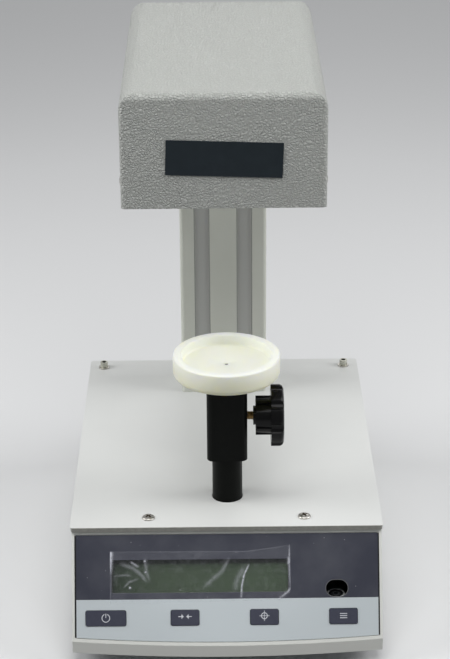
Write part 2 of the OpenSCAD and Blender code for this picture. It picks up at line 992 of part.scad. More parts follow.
module board_standoffs() {
    color(brass)
    for (sx = [-1, 1], sy = [-1, 1]) {
        translate([
            main_x + sx * (main_w / 2 - standoff_inset),
            main_y + sy * (main_d / 2 - standoff_inset),
            floor_top_z
        ])
            cylinder(d = standoff_d, h = standoff_h);
    }
}

module dc_socket() {
    color(black)
    translate([socket_x, body_rear_y, socket_z])
        rotate([90, 0, 0])
            difference() {
                union() {
                    translate([0, 0, -socket_flange_h])
                        cylinder(d = socket_flange_d, h = socket_flange_h);
                    cylinder(d = socket_d, h = socket_l);
                    translate([0, 0, body_wall + face_gap])
                        cylinder(d = socket_flange_d, h = socket_nut_h);
                }
                translate([0, 0, -socket_flange_h - cut])
                    difference() {
                        cylinder(d = socket_bore_d, h = socket_bore_h + cut);
                        translate([0, 0, 2 * cut])
                            cylinder(d = socket_pin_d, h = socket_bore_h + cut);
                    }
            }
}

module lift_motor() {
    color("#2b2c2e")
    translate([post_x, post_y, floor_top_z])
        difference() {
            union() {
                linear_extrude(motor_h)
                    rounded_rect(motor_w, motor_w, motor_corner_r);
                cylinder(d = pilot_d, h = motor_h + pilot_h);
            }
            translate([0, 0, lead_low_z - floor_top_z - lead_end_gap])
                cylinder(d = lead_d + 2 * run_gap, h = motor_h + pilot_h);
        }
}

module lift_frame() {
    frame_h = plate_low_z - face_gap - floor_top_z;
    color(steel)
    translate([post_x, post_y, floor_top_z])
        difference() {
            union() {
                for (sx = [-1, 1]) {
                    translate([sx * (frame_in_w + frame_t) / 2, 0, frame_h / 2])
                        cube([frame_t, frame_depth, frame_h], center = true);
                    translate([sx * (frame_out_w + frame_flange) / 2, 0, frame_t / 2])
                        cube([frame_flange + frame_t, frame_depth, frame_t], center = true);
                }
                translate([0, 0, motor_h + frame_t / 2])
                    cube([frame_in_w + frame_t, frame_depth, frame_t], center = true);
                translate([0, 0, frame_h - top_web_t / 2])
                    cube([frame_in_w + frame_t, frame_depth, top_web_t], center = true);
            }
            translate([0, 0, motor_h - cut])
                cylinder(d = pilot_d + 2 * run_gap, h = frame_t + 2 * cut);
            translate([0, 0, frame_h - top_web_t - cut])
                cylinder(d = bush_d + 2 * seat_gap, h = top_web_t + 2 * cut);
            for (p = frame_spots) {
                translate([p[0] - post_x, p[1] - post_y, -cut])
                    cylinder(d = m4_d + 2 * seat_gap, h = frame_t + 2 * cut);
            }
        }
}

module guide_bush() {
    color(brass)
    translate([post_x, post_y, bush_low_z])
        tube(bush_d, post_d + 2 * run_gap, bush_h);
}

module lift_post() {
    color(black)
    translate([post_x, post_y, post_low_z])
        difference() {
            rotate_extrude()
                polygon([
                    [0, 0], [post_d / 2, 0], [post_d / 2, post_top_z - post_low_z - end_chamfer],
                    [post_d / 2 - end_chamfer, post_top_z - post_low_z], [0, post_top_z - post_low_z]
                ]);
            translate([0, 0, -cut])
                cylinder(d = post_bore_d, h = post_bore_h + cut);
            translate([flat_x, -post_d / 2, flat_low_z - post_low_z])
                cube([post_d, post_d, post_top_z - flat_low_z + cut]);
        }
}

module lift_nut() {
    color(brass)
    translate([post_x, post_y, carriage_low_z])
        difference() {
            union() {
                translate([0, 0, carriage_t / 2])
                    cube([frame_in_w - 2 * carriage_gap, carriage_d, carriage_t], center = true);
                cylinder(d = post_bore_d - 2 * seat_gap, h = carriage_t + nut_spigot_h);
            }
            translate([0, 0, -cut])
                cylinder(d = lead_d + 2 * run_gap, h = carriage_t + nut_spigot_h + 2 * cut);
        }
}

module lead_screw() {
    color(steel)
    translate([post_x, post_y, lead_low_z])
        rotate_extrude()
            polygon([
                [0, 0], [lead_d / 2, 0], [lead_d / 2, lead_top_z - lead_low_z - end_chamfer],
                [lead_d / 2 - end_chamfer, lead_top_z - lead_low_z], [0, lead_top_z - lead_low_z]
            ]);
}

module clamp_block() {
    color(black)
    translate([post_x, post_y, block_low_z])
        difference() {
            linear_extrude(block_h)
                rounded_rect(block_w, block_w, block_r);
            translate([0, 0, -cut])
                cylinder(d = post_d + 2 * run_gap, h = block_h - block_cap + cut);
            translate([0, 0, clamp_z - block_low_z])
                rotate([0, 90, 0])
                    cylinder(d = clamp_screw_d + 2 * run_gap, h = block_w);
            translate([0, 0, block_h - stud_low_h])
                cylinder(d = stud_top_d + 2 * seat_gap, h = stud_low_h + cut);
        }
}

module tray() {
    low_r = tray_d / 2 - tray_round;
    rim_round = 0.8;
    floor_h = tray_h - tray_recess_h;
    sink_h = 0.5;
    sink_d = tray_hole_d + 2.6;
    color("#ecefe0")
    translate([post_x, post_y, block_top_z])
        difference() {
            rotate_extrude($fn = 96)
                polygon([
                    [tray_hole_d / 2, 0],
                    for (a = [-90:15:0]) [low_r + tray_round * cos(a), tray_round * (1 + sin(a))],
                    [tray_d / 2, tray_h - rim_round],
                    [tray_d / 2 - rim_round, tray_h],
                    [tray_recess_d / 2, tray_h],
                    [tray_recess_d / 2, floor_h],
                    [sink_d / 2, floor_h],
                    [tray_hole_d / 2, floor_h - sink_h]
                ]);
            translate([0, 0, -cut])
                cylinder(d = stud_top_d + 2 * seat_gap, h = stud_top_h + cut);
        }
}

module tray_stud() {
    color(black)
    translate([post_x, post_y, block_top_z - stud_low_h])
        cylinder(d = stud_top_d, h = stud_low_h + stud_top_h - face_gap);
}

module along_clamp(x) {
    translate([post_x + x, post_y, clamp_z])
        rotate([0, 90, 0])
            children();
}

module clamp_pad() {
    color(brass)
    along_clamp(pad_x)
        cylinder(d = clamp_screw_d - 2 * face_gap, h = pad_l);
}

module clamp_screw() {
    color(brass)
    along_clamp(clamp_screw_x)
        cylinder(d = clamp_screw_d, h = knob_end_x - clamp_screw_grip - clamp_screw_x);
}

module clamp_knob() {
    grip_chamfer = 2.6;
    grip_edge = 0.9;
    hub_draft = 0.6;
    rib_w = 2;
    rib_h = 0.8;
    color(black)
    along_clamp(knob_x)
        difference() {
            union() {
                cylinder(d = collar_d, h = collar_l + seat_gap);
                translate([0, 0, collar_l])
                    rotate_extrude()
                        polygon([
                            [0, 0], [hub_d / 2 - hub_draft, 0],
                            [hub_d / 2, hub_l + seat_gap], [0, hub_l + seat_gap]
                        ]);
                for (i = [0:knob_grooves - 1]) {
                    rotate([0, 0, 360 / knob_grooves * (i + 0.5)])
                        translate([0, -rib_w / 2, collar_l])
                            cube([hub_d / 2 + rib_h, rib_w, hub_l + seat_gap]);
                }
                translate([0, 0, collar_l + hub_l])
                    difference() {
                        rotate_extrude()
                            polygon([
                                [0, 0], [knob_d / 2, 0], [knob_d / 2, knob_t - grip_chamfer],
                                [knob_d / 2 - grip_edge, knob_t - grip_edge],
                                [knob_d / 2 - grip_chamfer, knob_t],
                                [0, knob_t]
                            ]);
                        for (i = [0:knob_grooves - 1]) {
                            rotate([0, 0, 360 / knob_grooves * i])
                                translate([knob_d / 2 + groove_cut_d / 2 - knob_groove, 0, -cut])
                                    cylinder(d = groove_cut_d, h = knob_t + 2 * cut);
                        }
                    }
            }
            translate([0, 0, -cut])
                cylinder(
                    d = clamp_screw_d + 2 * seat_gap,
                    h = collar_l + hub_l + knob_t - clamp_screw_grip + cut
                );
        }
}

module column() {
    color("#8f9189")
    translate([0, column_y, plate_top_z])
        linear_extrude(column_h)
            difference() {
                union() {
                    difference() {
                        rounded_rect(column_w, column_d, column_r);
                        rounded_rect(
                            column_w - 2 * column_wall, column_d - 2 * column_wall - groove_t, 1
                        );
                        for (sx = [-1, 1]) {
                            translate([sx * (strip_w + groove_w) / 2, -column_d / 2])
                                square([groove_w, 2 * groove_t], center = true);
                        }
                    }
                    for (sx = [-1, 1], sy = [-1, 1]) {
                        translate([sx * channel_x, sy * channel_y])
                            circle(d = channel_boss_d);
                    }
                }
                for (sx = [-1, 1], sy = [-1, 1]) {
                    translate([sx * channel_x, sy * channel_y])
                        circle(d = channel_d);
                }
            }
}

module bolt(shank_l) {
    cylinder(d = bolt_head_d, h = bolt_head_h);
    translate([0, 0, -shank_l])
        cylinder(d = m5_d, h = shank_l + seat_gap);
}

module column_bolts() {
    color(steel)
    for (p = bolt_spots) {
        translate([p[0], p[1], plate_low_z])
            mirror([0, 0, 1])
                bolt(plate_t + bolt_grip);
    }
}

module head_bolts() {
    color(steel)
    for (p = bolt_spots) {
        translate([p[0], p[1], head_plate_top_z])
            bolt(head_plate_t + bolt_grip);
    }
}

module head_plate() {
    flange_l = head_plate_d - flange_front - flange_rear;
    flange_y = head_mid_y + (flange_front - flange_rear) / 2;
    color(steel)
    difference() {
        union() {
            translate([0, head_mid_y, head_plate_low_z])
                linear_extrude(head_plate_t)
                    rounded_rect(head_plate_w, head_plate_d, head_rear_r - cover_wall);
            for (sx = [-1, 1]) {
                translate([sx * (head_plate_w - flange_t) / 2, flange_y, head_plate_low_z + flange_h / 2])
                    cube([flange_t, flange_l, flange_h], center = true);
            }
        }
        translate([post_x, post_y, head_plate_low_z - cut])
            cylinder(d = hook_hole_d, h = head_plate_t + 2 * cut);
        for (p = bolt_spots) {
            translate([p[0], p[1], head_plate_low_z - cut])
                cylinder(d = m5_hole_d, h = head_plate_t + 2 * cut);
        }
        for (y = cover_screw_ys) {
            translate([-head_w, y, cover_screw_z])
                rotate([0, 90, 0])
                    cylinder(d = m4_d + 2 * seat_gap, h = 2 * head_w);
        }
    }
}

// Head cover as a solid, drawn in by a wall thickness
module head_form(wall, low) {
    side_r = head_side_r - wall;
    top_r = head_top_r - wall;
    tall = 2 * (head_h - wall);
    intersection() {
        translate([0, head_rear_y + cut, head_low_z])
            rotate([90, 0, 0])
                linear_extrude(head_d + 2 * cut)
                    rounded_rect(head_w - 2 * wall, tall, side_r);
        translate([-head_w, head_mid_y, head_low_z])
            rotate([90, 0, 90])
                linear_extrude(2 * head_w)
                    rounded_rect(head_d - 2 * wall, tall, top_r);
        translate([0, 0, head_low_z - low])
            linear_extrude(head_h + low)
                head_plan(wall);
    }
}

// Plan of the head cover, with sharper edges at the front than at the rear
module head_plan(wall) {
    w = head_w - 2 * wall;
    d = head_d - 2 * wall;
    rear_r = head_rear_r - wall;
    front_r = head_front_r - wall;
    translate([0, head_mid_y]) {
        intersection() {
            rounded_rect(w, d, rear_r);
            translate([0, d / 2])
                square([w + cut, d], center = true);
        }
        intersection() {
            rounded_rect(w, d, front_r);
            translate([0, -d / 2])
                square([w + cut, d], center = true);
        }
    }
}

module head_cover() {
    color(paint)
    difference() {
        head_form(0, 0);
        head_form(cover_wall, cut);
        for (y = cover_screw_ys) {
            translate([-head_w, y, cover_screw_z])
                rotate([0, 90, 0])
                    cylinder(d = m4_hole_d, h = 2 * head_w);
        }
    }
}

module cover_screws() {
    color(steel)
    for (sx = [-1, 1], y = cover_screw_ys) {
        translate([sx * head_w / 2, y, cover_screw_z])
            rotate([0, sx * 90, 0])
                pan_screw(cover_head_d, cover_head_h, m4_d, cover_wall + head_plate_gap + flange_t);
    }
}

module name_plate() {
    color("#22282c")
    translate([name_x, head_front_y - face_gap / 2, head_top_z - name_drop])
        rotate([90, name_tilt, 0])
            linear_extrude(name_t)
                square([name_w, name_h], center = true);
}

module sensor_mount() {
    color("#a9acae")
    translate([post_x, beam_rear_y - mount_l / 2, head_plate_top_z + sensor_mount_h / 2])
        cube([mount_w, mount_l, sensor_mount_h], center = true);
}

module force_sensor() {
    bore_web = 14;
    bore_pitch = beam_bore_d + bore_web;
    mid_z = beam_low_z + beam_h / 2;
    mid_y = (beam_front_y + beam_rear_y) / 2;
    color("#c4c7c9")
    difference() {
        translate([post_x, mid_y, mid_z])
            cube([beam_w, beam_l, beam_h], center = true);
        for (sy = [-1, 1]) {
            translate([-beam_w, mid_y + sy * bore_pitch / 2, mid_z])
                rotate([0, 90, 0])
                    cylinder(d = beam_bore_d, h = 2 * beam_w);
        }
        translate([post_x, mid_y, mid_z])
            cube([beam_w + 2 * cut, bore_pitch, beam_bore_d / 3], center = true);
    }
}

module hook_arm() {
    ear_x = hook_t / 2 + ear_gap;
    bridge_h = 1;
    stem_low_z = hook_pin_z + ear_r + bridge_h;
    color(steel)
    translate([post_x, post_y, 0]) {
        translate([0, arm_l / 2 - arm_w / 2, beam_low_z - arm_t / 2])
            cube([arm_w, arm_l, arm_t], center = true);
        translate([0, 0, stem_low_z])
            cylinder(d = stem_d, h = beam_low_z - arm_t - stem_low_z + seat_gap);
        translate([0, 0, stem_low_z + bridge_h / 2])
            cube([2 * (ear_x + ear_t), 2 * ear_r, bridge_h], center = true);
        for (sx = [-1, 1]) {
            translate([sx * (ear_x + ear_t / 2), 0, (stem_low_z + hook_pin_z) / 2])
                cube([ear_t, 2 * ear_r, stem_low_z - hook_pin_z + seat_gap], center = true);
            translate([sx * (ear_x + ear_t / 2), 0, hook_pin_z])
                rotate([0, 90, 0])
                    cylinder(r = ear_r, h = ear_t, center = true);
        }
        translate([0, 0, hook_pin_z])
            rotate([0, 90, 0])
                cylinder(d = hook_pin_d, h = 2 * (ear_x + ear_t), center = true);
    }
}

// Flat hook that hangs on its pin and carries the measuring plate
module plate_hook() {
    eye_r = 2.2;
    bend_r = 2.6;
    wire_w = 1.6;
    bend_z = -hook_l + bend_r + wire_w / 2;
    color(steel)
    translate([post_x - hook_t / 2, post_y, hook_pin_z])
        rotate([90, 0, 90])
            linear_extrude(hook_t)
                difference() {
                    union() {
                        circle(eye_r);
                        translate([-wire_w / 2, bend_z + bend_r])
                            square([wire_w, -bend_z - bend_r]);
                        translate([0, bend_z]) {
                            difference() {
                                circle(bend_r + wire_w / 2);
                                circle(bend_r - wire_w / 2);
                                translate([-2 * bend_r, 0])
                                    square([2 * bend_r, 2 * bend_r]);
                            }
                        }
                    }
                    circle(d = hook_pin_d + 2 * run_gap);
                }
}

module foot_pad(i) {
    edge = 0.8;
    draft = 1;
    color("#222222")
    translate([foot_spots[i][0], foot_spots[i][1], 0])
        difference() {
            rotate_extrude()
                polygon([
                    [0, 0], [pad_d / 2 - edge, 0], [pad_d / 2, edge],
                    [pad_d / 2 - draft, pad_h], [0, pad_h]
                ]);
            translate([0, 0, stud_seat_h])
                cylinder(d = stud_d + 2 * run_gap, h = pad_h);
        }
}

module foot_stud(i) {
    flute_r = 1.6;
    flute_out = 0.8;
    color(steel)
    translate([foot_spots[i][0], foot_spots[i][1], 0]) {
        translate([0, 0, stud_seat_h])
            cylinder(d = stud_d, h = floor_top_z + insert_h - stud_seat_h);
        translate([0, 0, pad_h])
            difference() {
                cylinder(d = wheel_d, h = wheel_h);
                for (a = [0:30:330]) {
                    rotate([0, 0, a])
                        translate([wheel_d / 2 + flute_out, 0, -cut])
                            cylinder(r = flute_r, h = wheel_h + 2 * cut);
                }
            }
    }
}

module foot_pad_fl() {
    foot_pad(0);
}

module foot_pad_fr() {
    foot_pad(1);
}

module foot_pad_rl() {
    foot_pad(2);
}

module foot_pad_rr() {
    foot_pad(3);
}

module foot_stud_fl() {
    foot_stud(0);
}

module foot_stud_fr() {
    foot_stud(1);
}

module foot_stud_rl() {
    foot_stud(2);
}

module foot_stud_rr() {
    foot_stud(3);
}

base_body();
bottom_plate();
bottom_screws();
pillars();
foot_inserts();
top_plate();
plate_screws();
rear_screws();
rear_washers();
front_overlay();
sight_ring();
display_window();
lcd_module();
display_film();
key_board();
key_switches();
level_cup();
level_glass();
level_bracket();
main_board();
board_standoffs();
dc_socket();
lift_motor();
lift_frame();
guide_bush();
column();
column_bolts();
head_plate();
head_bolts();
head_cover();
cover_screws();
name_plate();
sensor_mount();
force_sensor();
hook_arm();
plate_hook();
lift_post();
lift_nut();
lead_screw();
clamp_block();
tray();
tray_stud();
clamp_pad();
clamp_knob();
clamp_screw();
key_power();
key_tare();
key_cal();
key_mode();
foot_pad_fl();
foot_pad_fr();
foot_pad_rl();
foot_pad_rr();
foot_stud_fl();
foot_stud_fr();
foot_stud_rl();
foot_stud_rr();
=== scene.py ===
import bpy
import json
import math
from mathutils import Matrix, Vector

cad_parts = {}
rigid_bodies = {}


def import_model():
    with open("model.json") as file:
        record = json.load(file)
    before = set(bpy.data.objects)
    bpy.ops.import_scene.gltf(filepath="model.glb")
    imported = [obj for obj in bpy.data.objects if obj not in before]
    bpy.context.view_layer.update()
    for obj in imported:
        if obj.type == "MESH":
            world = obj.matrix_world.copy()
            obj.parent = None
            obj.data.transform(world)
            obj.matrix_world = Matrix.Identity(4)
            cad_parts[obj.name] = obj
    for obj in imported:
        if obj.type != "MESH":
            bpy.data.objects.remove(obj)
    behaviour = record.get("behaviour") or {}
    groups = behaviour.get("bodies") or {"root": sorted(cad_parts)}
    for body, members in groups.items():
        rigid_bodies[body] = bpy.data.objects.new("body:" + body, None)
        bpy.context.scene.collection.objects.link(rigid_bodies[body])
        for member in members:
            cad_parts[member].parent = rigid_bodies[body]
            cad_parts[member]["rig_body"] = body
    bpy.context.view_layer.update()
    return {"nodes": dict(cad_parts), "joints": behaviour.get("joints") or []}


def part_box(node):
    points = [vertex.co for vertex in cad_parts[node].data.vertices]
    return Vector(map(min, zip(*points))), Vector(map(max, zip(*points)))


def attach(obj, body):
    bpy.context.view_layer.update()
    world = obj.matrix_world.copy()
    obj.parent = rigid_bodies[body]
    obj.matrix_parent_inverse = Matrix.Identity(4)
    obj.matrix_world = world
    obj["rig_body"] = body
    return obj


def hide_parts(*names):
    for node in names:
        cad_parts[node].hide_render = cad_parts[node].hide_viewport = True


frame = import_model()

print("frame loaded,", len(frame["nodes"]), "nodes")


def linked(name, data):  # a new object in the scene
    made = bpy.data.objects.new(name, data)
    bpy.context.scene.collection.objects.link(made)
    return made


# The camera, solved from the photograph's straight edges

photoCamera = {
    "focalPixels": 1971.0,
    "longSidePixels": 659.0,
    "sensorWidth": 36.0,
    "nearest": 0.05,
    "place": (-0.00569, -1.2674, 0.7411),
    "pitch": 23.82,  # degrees down
    "yaw": 0.28,  # degrees to the right
    "roll": -0.43,
}


def addCamera(settings):
    data = bpy.data.cameras.new("photoCamera")
    camera = linked("photoCamera", data)
    data.sensor_width = settings["sensorWidth"]
    data.lens = settings["sensorWidth"] * settings["focalPixels"] / settings["longSidePixels"]
    data.clip_start = settings["nearest"]
    pitch = math.radians(settings["pitch"])
    yaw = math.radians(settings["yaw"])
    roll = math.radians(settings["roll"])
    level = math.cos(pitch)
    ahead = Vector((math.sin(yaw) * level, math.cos(yaw) * level, -math.sin(pitch)))
    right = Vector((math.cos(yaw), -math.sin(yaw), 0))
    up = right.cross(ahead)
    turnedRight = right * math.cos(roll) + up * math.sin(roll)
    turnedUp = up * math.cos(roll) - right * math.sin(roll)
    turn = Matrix((turnedRight, turnedUp, -ahead)).transposed()
    camera.matrix_world = Matrix.Translation(settings["place"]) @ turn.to_4x4()
    bpy.context.scene.camera = camera


addCamera(photoCamera)


# Shader maths

class Wire:  # an output socket that can stand in a sum
    def __init__(self, finish, socket):
        self.finish = finish
        self.socket = socket

    def __add__(self, other):
        return self.finish.maths("ADD", self, other)

    def __radd__(self, other):
        return self.finish.maths("ADD", other, self)

    def __sub__(self, other):
        return self.finish.maths("SUBTRACT", self, other)

    def __rsub__(self, other):
        return self.finish.maths("SUBTRACT", other, self)

    def __mul__(self, other):
        return self.finish.maths("MULTIPLY", self, other)

    def __rmul__(self, other):
        return self.finish.maths("MULTIPLY", other, self)

    def __truediv__(self, other):
        return self.finish.maths("DIVIDE", self, other)

    def __pow__(self, other):
        return self.finish.maths("POWER", self, other)

    def __abs__(self):
        return self.finish.maths("ABSOLUTE", self, 0.0)

    def __lt__(self, other):
        return self.finish.maths("LESS_THAN", self, other)

    def __gt__(self, other):
        return self.finish.maths("GREATER_THAN", self, other)


plainGloss = 0.5


class Finish:  # one material with its shader; all sizes are in metres
    def __init__(self, name, color=(0.8, 0.8, 0.8), roughness=0.5, metallic=0.0):
        self.material = bpy.data.materials.new(name)
        self.material.use_nodes = True
        self.tree = self.material.node_tree
        self.shader = self.tree.nodes["Principled BSDF"]
        self.give({"Base Color": (*color, 1), "Roughness": roughness, "Metallic": metallic})
        self.place = self.node("TexCoord", output="Object")

    def node(self, kind, settings=None, inputs=None, output=0):
        made = self.tree.nodes.new("ShaderNode" + kind)
        for key, value in (settings or {}).items():
            if key == "stops":
                self.setStops(made.color_ramp, value)
            else:
                setattr(made, key, value)
        self.feed(made, inputs or {})
        return Wire(self, made.outputs[output])

    def setStops(self, ramp, stops):
        ramp.elements.remove(ramp.elements[1])
        ramp.elements[0].position = stops[0][0]
        ramp.elements[0].color = (*stops[0][1], 1)
        for position, color in stops[1:]:
            ramp.elements.new(position).color = (*color, 1)

    def feed(self, node, inputs):
        for key, value in inputs.items():
            if isinstance(value, Wire):
                self.tree.links.new(value.socket, node.inputs[key])
            else:
                node.inputs[key].default_value = value

    def give(self, inputs):
        self.feed(self.shader, inputs)

    def cover(self, color, unevenness, height, look):  # paint, its sheen and its relief
        self.give({
            "Base Color": color,
            "Roughness": look["roughness"] + unevenness * look["uneven"],
            "Specular IOR Level": look.get("gloss", plainGloss),
            "Normal": self.bump(height, look["depth"], look["bump"]),
        })

    def paint(self):  # what the base colour is made of so far
        return Wire(self, self.shader.inputs["Base Color"].links[0].from_socket)

    def maths(self, operation, first, second):
        return self.node("Math", {"operation": operation}, {0: first, 1: second})

    def mixed(self, share, first, second):  # first where share is 0
        colors = [c if isinstance(c, Wire) else (*c, 1) for c in (first, second)]
        return self.node(
            "Mix", {"data_type": "RGBA"}, {0: share, 6: colors[0], 7: colors[1]}, output=2
        )

    def axis(self, letter):  # X, Y or Z of the point
        return self.node("SeparateXYZ", inputs={0: self.place}, output=letter)

    def noise(self, size, detail=2, stretch=(1, 1, 1), output="Fac"):  # size of a blotch
        spot = self.node("Mapping", inputs={"Vector": self.place, "Scale": stretch})
        return self.node(
            "TexNoise", inputs={"Vector": spot, "Scale": 1 / size, "Detail": detail}, output=output
        )

    def cells(self, size, feature="F1", vector=None):
        return self.node(
            "TexVoronoi",
            {"feature": feature},
            {"Vector": vector or self.place, "Scale": 1 / size},
            output="Distance",
        )

    def ramp(self, factor, low, high):  # 0 below low, 1 above high
        return self.node("MapRange", inputs={0: factor, 1: low, 2: high})

    def bump(self, height, depth, strength):
        relief = {"Height": height, "Distance": depth, "Strength": strength}
        return self.node("Bump", inputs=relief)


def tinted(color, factor):  # the same colour, darker or lighter
    return tuple(c * factor for c in color)


def middleOf(node):
    low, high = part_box(node)
    return (low + high) / 2


def fromMiddle(finish, node):  # X, Y and Z, measured from the middle of a node
    return [finish.axis(letter) - place for letter, place in zip("XYZ", middleOf(node))]


# The sloping front, whose foot bows forward

slopeTurn = Vector(next(j["axis"] for j in frame["joints"] if j["name"] == "power_press"))

panelShape = {
    "top": Vector((0, -0.11355, 0.084)),  # upper edge of the sloping face
    "length": 0.07478,
    "width": 0.2076,
    "bow": 0.007,  # how far the foot of the face bows forward
    "meanBow": 1 / 3,  # the bow is measured from its mean over the width
}


def fromTop(finish):  # behind and above the upper edge of the sloping face
    top = panelShape["top"]
    return finish.axis("Y") - top.y, finish.axis("Z") - top.z


def downSlope(finish):  # distance below that edge, on the slope
    y, z = fromTop(finish)
    return y * slopeTurn.z - z * slopeTurn.y


def outOfSlope(finish):  # distance in front of the sloping face's mean plane
    y, z = fromTop(finish)
    return y * -slopeTurn.y - z * slopeTurn.z


def bulge(x, down):  # how far the bowed face stands in front of that plane
    fall = down / panelShape["length"]
    side = abs(x) * (2 / panelShape["width"])
    foot = x.finish.maths("MAXIMUM", 1 - (1 - side) / fall, 0.0)
    return (foot * foot * -1 + panelShape["meanBow"]) * fall * (panelShape["bow"] * slopeTurn.y)


# Paints and plastics

coverGrain = {
    "color": (0.555, 0.57, 0.54),
    "pebble": 0.0019,
    "drift": 0.0012,  # how far the pebbles are bent out of shape
    "driftSize": 0.0024,
    "valley": 0.22,  # share of a pebble that slopes down to its edge
    "fine": 0.0008,
    "pebbleShare": 0.7,
    "fineShare": 0.6,
    "depth": 0.0008,
    "bump": 1.0,
    "valleyShadeRange": (0.35, 1.0),  # heights between which the tone changes, from painted shade in the grain's valleys to painted highlight on its tops
    "darker": 0.91,
    "lighter": 1.04,
    "roughness": 0.38,
    "uneven": 0.14,
}


def makeCoverPaint(grain):  # pale grey, with a leather grain whose valleys are painted darker as shade and whose tops are painted lighter as highlight
    finish = Finish("coverPaint")
    drift = finish.noise(grain["driftSize"], output="Color")
    bent = finish.node(
        "Mix", {"data_type": "VECTOR"}, {0: grain["drift"], 4: finish.place, 5: drift}, output=1
    )
    valleys = finish.cells(grain["pebble"], "DISTANCE_TO_EDGE", bent)
    pebbles = finish.ramp(valleys, 0.0, grain["valley"])
    fine = finish.noise(grain["fine"])
    height = pebbles * grain["pebbleShare"] + fine * grain["fineShare"]
    # painted shade and highlight: the grain's valleys are coloured darker and its tops lighter
    tone = finish.mixed(
        finish.ramp(height, *grain["valleyShadeRange"]),
        tinted(grain["color"], grain["darker"]),
        tinted(grain["color"], grain["lighter"]),
    )
    finish.cover(tone, fine, height, grain)
    return finish


satinPaint = {
    "blotch": 0.03,
    "darker": 0.97,
    "lighter": 1.02,
    "speck": 0.007,  # distance between specks
    "speckRadius": 0.035,  # as a share of that distance
    "speckShare": 0.25,
    "speckColor": (0.42, 0.4, 0.36),
    "skin": 0.0009,  # a slight orange peel
    "depth": 0.00006,
    "bump": 0.5,
    "roughness": 0.4,
    "uneven": 0.08,
}


def makeSatinPaint(name, color):  # sprayed and baked
    finish = Finish(name)
    blotches = finish.noise(satinPaint["blotch"], 3)
    skin = finish.noise(satinPaint["skin"])
    specks = finish.cells(satinPaint["speck"]) < satinPaint["speckRadius"]
    tone = finish.mixed(
        blotches, tinted(color, satinPaint["darker"]), tinted(color, satinPaint["lighter"])
    )
    specked = finish.mixed(specks * satinPaint["speckShare"], tone, satinPaint["speckColor"])
    finish.cover(specked, blotches, skin, satinPaint)
    return finish


platePaint = {
    "color": (0.68, 0.69, 0.675),
    "edgeDepth": 0.0005,
    # painted shade on the sheet's front edge
    "edgeShadeColor": (0.33, 0.33, 0.30),
    "dirt": 0.002,
    "dirtRange": (0.3, 0.7),
    "dirtDarker": 0.8,
}


def makePlatePaint(plate):  # the sheet's cut front edge has painted shade and a little dirt
    finish = makeSatinPaint("platePaint", plate["color"])
    # painted shade: the sheet's front face is coloured darker, as it would look in shadow
    front = finish.axis("Y") < (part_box("top_plate")[0].y + plate["edgeDepth"])
    dirt = finish.ramp(finish.noise(plate["dirt"], 3), *plate["dirtRange"])
    tone = finish.mixed(dirt, plate["edgeShadeColor"], tinted(plate["edgeShadeColor"], plate["dirtDarker"]))
    finish.give({"Base Color": finish.mixed(front, finish.paint(), tone)})
    return finish


bodyPaint = {
    "color": (0.78, 0.79, 0.75),
    "recessDepth": 0.0003,  # where the recess begins, behind the bowed face
    "recessFloor": 0.0016,
    "recessHalfWidth": 0.10215,
    "recessTop": 0.0022,
    "recessFoot": 0.0722,
    # painted shade in the gap round the overlay
    "recessShade": (0.012, 0.012, 0.013),
}


def makeBodyPaint(body):  # the shallow recess round the overlay is painted dark as shade
    finish = makeSatinPaint("bodyPaint", body["color"])
    x = finish.axis("X")
    down = downSlope(finish)
    depth = outOfSlope(finish) * -1 + bulge(x, down)
    sunk = (depth > body["recessDepth"]) * (depth < body["recessFloor"])
    share = x * (2 / panelShape["width"])
    bow = (share * share * -1 + panelShape["meanBow"]) * (panelShape["bow"] * -slopeTurn.z)
    between = (down > body["recessTop"]) * (down < bow + body["recessFoot"])
    across = abs(x) < body["recessHalfWidth"]
    # painted shade: the recess floor is coloured near black, where the gap lies in shadow
    finish.give({
        "Base Color": finish.mixed(sunk * between * across, finish.paint(), body["recessShade"]),
    })
    return finish


columnPaint = {
    "colors": ((0.66, 0.675, 0.60), (0.71, 0.725, 0.66)),
    "blotch": 0.02,
    "grooveColor": (0.52, 0.525, 0.50),
    "grooveInner": 0.0102,
    "grooveOuter": 0.0213,
    "lineHalfWidth": 0.0003,
    "lineShare": 0.55,
    # painted shadow in the corners of the grooves
    "grooveShadowColor": (0.12, 0.12, 0.12),
    "streak": 0.0006,
    "streakStretch": (1, 1, 0.02),
    "depth": 0.00004,
    "bump": 0.6,
    "roughness": 0.38,
    "uneven": 0.15,
}


def makeColumnPaint(coat):  # powder on an extrusion, with fine lines of painted shadow where its grooves begin
    finish = Finish("columnPaint")
    x = abs(finish.axis("X"))
    inner = abs(x - coat["grooveInner"]) < coat["lineHalfWidth"]
    outer = abs(x - coat["grooveOuter"]) < coat["lineHalfWidth"]
    groove = (x > coat["grooveInner"]) * (x < coat["grooveOuter"])
    streaks = finish.noise(coat["streak"], stretch=coat["streakStretch"])
    tone = finish.mixed(finish.noise(coat["blotch"], 3), *coat["colors"])
    sunk = finish.mixed(groove, tone, coat["grooveColor"])
    # painted shadow: thin dark lines in the corners of the grooves
    grooveShadowed = finish.mixed((inner + outer) * coat["lineShare"], sunk, coat["grooveShadowColor"])
    finish.cover(grooveShadowed, streaks, streaks, coat)
    return finish


trayNylon = {
    "colors": ((0.90, 0.915, 0.80), (0.92, 0.935, 0.84)),
    "cloud": 0.012,
    "underShadeColor": (0.94, 0.925, 0.69),  # painted shade: warmer towards the underside
    "underStart": 0.75,  # share of the tray's height
    "underShare": 0.9,
    "ringScale": 130,
    "ringWander": 0.4,
    "depth": 0.00003,
    "bump": 0.35,
    "roughness": 0.36,
    "uneven": 0.12,
    "glow": 0.6,
    "glowReach": (0.012, 0.011, 0.006),
}


